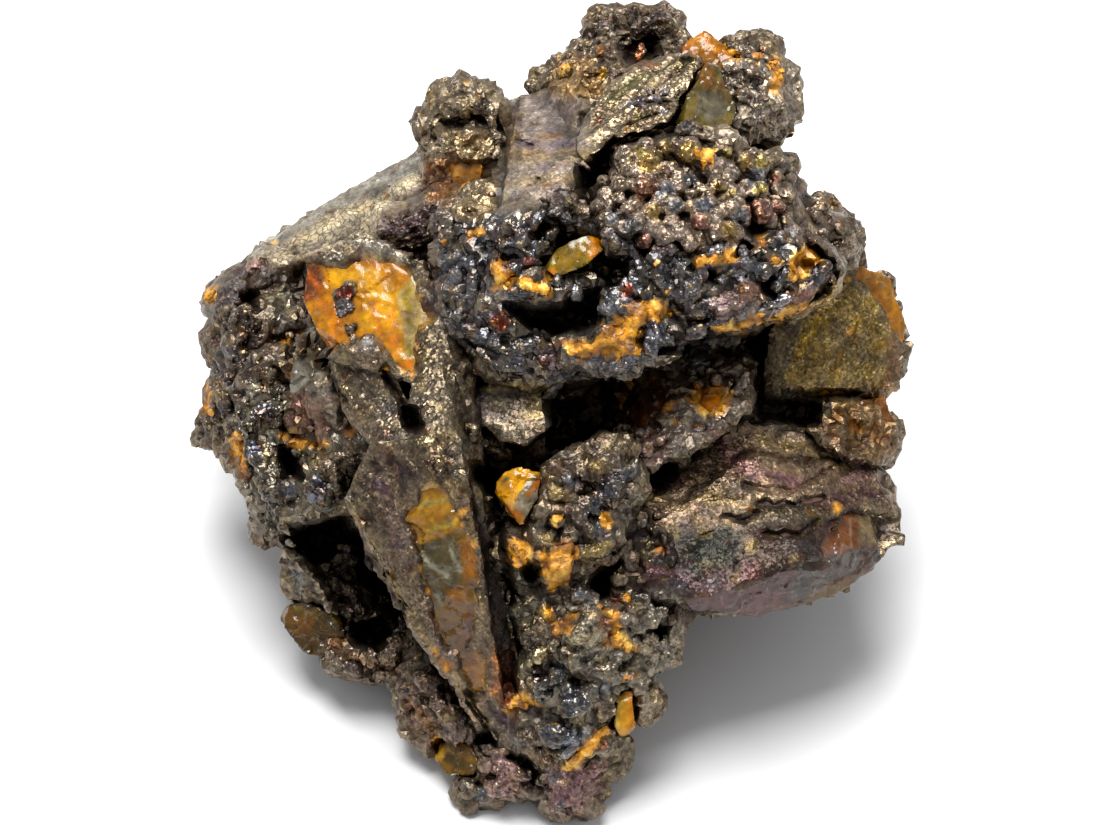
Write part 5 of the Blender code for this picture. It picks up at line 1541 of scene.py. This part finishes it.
def limonite_finish():
    """Drusy limonite, a coat of tiny goethite crystals on rounded growths: it gives the eye a dull metallic
    sparkle, smooth steely beads, and glassy yellow where the iron is hydrated."""
    made = bpy.data.materials.new("drusy_limonite")
    made.use_nodes = True
    tree = made.node_tree
    shader = tree.nodes["Principled BSDF"]
    where = add_node(tree, "ShaderNodeTexCoord").outputs["Object"]
    coat = add_node(tree, "ShaderNodeAttribute", {"attribute_name": "coat"}).outputs["Color"]
    mosaic, druse, metal, dull = [
        add_node(tree, "ShaderNodeAttribute", {"attribute_name": name}).outputs["Fac"]
        for name in ("mosaic", "druse", "metal", "dull")]
    tree.links.new(metal, shader.inputs["Metallic"])
    tree.links.new(dull, shader.inputs["Roughness"])

    # Mottling 0.45 mm wide, and the fine crackle of the back plate, 0.6 mm between cracks
    mottle = add_node(tree, "ShaderNodeTexNoise", {"Scale": 1000 / 0.45, "Detail": 3.0, "Roughness": 0.7},
                      {"Vector": where}).outputs["Fac"]
    shade = add_node(tree, "ShaderNodeMapRange", {1: 0.32, 2: 0.68, 3: 0.5, 4: 1.6}, {0: mottle}).outputs[0]
    coat = add_node(tree, "ShaderNodeVectorMath", {"operation": "SCALE"},
                    {0: coat, "Scale": shade}).outputs[0]
    cracks = add_node(tree, "ShaderNodeTexVoronoi", {"feature": "DISTANCE_TO_EDGE", "Scale": 1000 / 0.6},
                      {"Vector": where}).outputs["Distance"]
    cracks = add_node(tree, "ShaderNodeMapRange", {1: 0.02, 2: 0.11, 3: 0.75, 4: 0.0}, {0: cracks}).outputs[0]
    cracks = add_node(tree, "ShaderNodeMath", {"operation": "MULTIPLY"}, {0: cracks, 1: mosaic}).outputs[0]
    coat = add_node(tree, "ShaderNodeMix", {"data_type": "RGBA", 7: linear("#2E2A20")},
                    {0: cracks, 6: coat}).outputs[2]

    # Grains of the druse, 0.19 mm wide: a few painted bright as sparkles, a few darker, each leaning its own
    # way
    grains = add_node(tree, "ShaderNodeTexVoronoi", {"Scale": 1000 / 0.19},
                      {"Vector": where}).outputs["Color"]
    chance = add_node(tree, "ShaderNodeSeparateColor", {}, {0: grains}).outputs[0]
    bright = add_node(tree, "ShaderNodeMapRange", {1: 0.72, 2: 1.0, 3: 0.0, 4: 0.8}, {0: chance}).outputs[0]
    bright = add_node(tree, "ShaderNodeMath", {"operation": "MULTIPLY"}, {0: bright, 1: druse}).outputs[0]
    dark = add_node(tree, "ShaderNodeMapRange", {1: 0.0, 2: 0.35, 3: 0.7, 4: 0.0}, {0: chance}).outputs[0]
    dark = add_node(tree, "ShaderNodeMath", {"operation": "MULTIPLY"}, {0: dark, 1: druse}).outputs[0]
    sparkling = add_node(tree, "ShaderNodeMix", {"data_type": "RGBA", "blend_type": "MULTIPLY", 0: 1.0,
                                                 7: (3.2, 3.0, 2.7, 1.0)}, {6: coat}).outputs[2]
    colour = add_node(tree, "ShaderNodeMix", {"data_type": "RGBA"},
                      {0: bright, 6: coat, 7: sparkling}).outputs[2]
    colour = add_node(tree, "ShaderNodeMix", {"data_type": "RGBA", 7: linear("#14100D")},
                      {0: dark, 6: colour}).outputs[2]
    tree.links.new(colour, shader.inputs["Base Color"])

    flat = add_node(tree, "ShaderNodeNewGeometry").outputs["Normal"]
    centred = add_node(tree, "ShaderNodeVectorMath", {"operation": "SUBTRACT", 1: (0.5, 0.5, 0.5)},
                       {0: grains}).outputs[0]
    lean = add_node(tree, "ShaderNodeMath", {"operation": "MULTIPLY_ADD", 1: 0.8, 2: 0.12},
                    {0: druse}).outputs[0]
    tilt = add_node(tree, "ShaderNodeVectorMath", {"operation": "SCALE"},
                    {0: centred, "Scale": lean}).outputs[0]
    tilted = add_node(tree, "ShaderNodeVectorMath", {"operation": "ADD"}, {0: flat, 1: tilt}).outputs[0]
    unit = add_node(tree, "ShaderNodeVectorMath", {"operation": "NORMALIZE"}, {0: tilted}).outputs[0]
    pits = add_node(tree, "ShaderNodeTexNoise", {"Scale": 1000 / 0.3, "Detail": 2.0},
                    {"Vector": where}).outputs["Fac"]
    bump = add_node(tree, "ShaderNodeBump", {"Strength": 0.5, "Distance": 0.08 * MM},
                    {"Height": pits, "Normal": unit})
    tree.links.new(bump.outputs[0], shader.inputs["Normal"])
    return made


def quartz_finish(name):
    """Iron-stained quartz, broken and healed in the rock: it gives the eye a glassy gloss, and a colour that
    comes from inside. The clearer crystals let more light through."""
    made = bpy.data.materials.new("iron_stained_" + name)
    made.use_nodes = True
    tree = made.node_tree
    shader = tree.nodes["Principled BSDF"]
    where = add_node(tree, "ShaderNodeTexCoord").outputs["Object"]
    stain = add_node(tree, "ShaderNodeAttribute", {"attribute_name": "stain"}).outputs["Color"]

    # Cloudy patches 0.8 mm wide, and pale healed cracks that wander through them
    cloudy = add_node(tree, "ShaderNodeTexNoise", {"Scale": 1000 / 0.8, "Detail": 5.0, "Roughness": 0.7},
                      {"Vector": where}).outputs["Fac"]
    shade = add_node(tree, "ShaderNodeMapRange", {1: 0.3, 2: 0.7, 3: 0.55, 4: 1.45}, {0: cloudy}).outputs[0]
    tint = add_node(tree, "ShaderNodeVectorMath", {"operation": "SCALE"},
                    {0: stain, "Scale": shade}).outputs[0]
    wander = add_node(tree, "ShaderNodeTexNoise", {"Scale": 1000 / 2.2, "Detail": 2.0},
                      {"Vector": where}).outputs["Fac"]
    cracks = add_node(tree, "ShaderNodeMath", {"operation": "SUBTRACT", 1: 0.5}, {0: wander}).outputs[0]
    cracks = add_node(tree, "ShaderNodeMath", {"operation": "ABSOLUTE"}, {0: cracks}).outputs[0]
    cracks = add_node(tree, "ShaderNodeMapRange", {1: 0.0, 2: 0.01, 3: 0.14, 4: 0.0}, {0: cracks}).outputs[0]
    tint = add_node(tree, "ShaderNodeMix", {"data_type": "RGBA", 7: linear("#E9D9A8")},
                    {0: cracks, 6: tint}).outputs[2]
    tree.links.new(tint, shader.inputs["Base Color"])

    # A fine ripple 0.7 mm wide, and how glassy and clear the crystal is
    ripple = add_node(tree, "ShaderNodeTexNoise", {"Scale": 1000 / 0.7, "Detail": 3.0},
                      {"Vector": where}).outputs["Fac"]
    bump = add_node(tree, "ShaderNodeBump", {"Strength": 0.5, "Distance": 0.12 * MM}, {"Height": ripple})
    tree.links.new(bump.outputs[0], shader.inputs["Normal"])
    shader.inputs["Roughness"].default_value = 0.18
    shader.inputs["IOR"].default_value = QUARTZ_IOR
    shader.inputs["Specular IOR Level"].default_value = 0.35
    shader.inputs["Transmission Weight"].default_value = CRYSTALS[name][1]
    return made


def stage_and_camera():
    """A pale floor, soft studio light from the upper left, and the photograph's camera."""
    plane = bmesh.new()
    bmesh.ops.create_grid(plane, x_segments=1, y_segments=1, size=FLOOR_REACH)
    mesh = bpy.data.meshes.new("floor")
    plane.to_mesh(mesh)
    plane.free()
    floor = new_object("floor", mesh)
    paint = bpy.data.materials.new("white_board")
    paint.use_nodes = True
    shader = paint.node_tree.nodes["Principled BSDF"]
    shader.inputs["Base Color"].default_value = linear("#F0F0F0")
    shader.inputs["Roughness"].default_value = 0.8
    mesh.materials.append(paint)

    world = bpy.data.worlds.new("studio")
    bpy.context.scene.world = world
    world.use_nodes = True
    sky = world.node_tree.nodes["Background"]
    sky.inputs["Color"].default_value = linear("#F4F6FA")
    sky.inputs["Strength"].default_value = SKY_STRENGTH
    add_light("key", KEY_PLACE, KEY_SIZE, KEY_POWER)

    lens = bpy.data.cameras.new("camera")
    lens.sensor_width = SENSOR_WIDTH
    lens.lens = lens.sensor_width * EYE_DISTANCE / (FRAME_WIDTH * PIXEL)
    lens.clip_start = 0.01
    camera = bpy.data.objects.new("camera", lens)
    bpy.context.scene.collection.objects.link(camera)
    stand = Matrix((RIGHT, UP, NEARER)).transposed().to_4x4()
    stand.translation = EYE
    camera.matrix_world = stand
    bpy.context.scene.camera = camera
    bpy.context.scene.view_settings.view_transform = "Standard"


def add_light(name, place, size, power):
    lamp = bpy.data.lights.new(name, "AREA")
    lamp.size = size
    lamp.energy = power
    made = bpy.data.objects.new(name, lamp)
    bpy.context.scene.collection.objects.link(made)
    made.location = place
    made.rotation_euler = (MIDDLE - Vector(place)).to_track_quat("-Z", "Y").to_euler()


def add_piece(name, mesh, finish, node=None):
    """A finished piece on the specimen's one body; it may stand for a CAD node."""
    mesh.materials.clear()
    mesh.materials.append(finish)
    mesh.shade_smooth()
    mesh.set_sharp_from_angle(angle=SHARP_EDGE)
    piece = new_object(name, mesh)
    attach(piece, "root")
    if node:
        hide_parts(node)


def main():
    """Makes the rock and its crystals, paints them as they are seen together, and sets the studio."""
    core, form_tree = rock_core()
    rocks = {"limonite_crust": core}
    for number, (name, growth) in enumerate(GROWTHS.items(), FIRST_SEED):
        rocks[name] = grown(growth, form_tree, number)
    crystals = {name: crystal_skin(name) for name in CRYSTALS}
    every = [*rocks.values(), *crystals.values()]
    for mesh in every:
        places = points_of(mesh)
        places[:, 2] = np.maximum(places[:, 2], 0.0)
        place_points(mesh, places)
    tree = tree_of(joined(every))
    sight = Sight(tree)
    openness = openness_of(every, tree)
    limonite = limonite_finish()
    for (name, mesh), seen in zip(rocks.items(), openness):
        paint_rock(mesh, sight, seen)
        add_piece(name, mesh, limonite, "limonite_mass" if name == "limonite_crust" else None)
    for (name, mesh), seen in zip(crystals.items(), openness[len(rocks):]):
        paint_crystal(mesh, name, sight, seen)
        add_piece(name.replace("quartz_", "crystal_"), mesh, quartz_finish(name), name)
    stage_and_camera()


main()
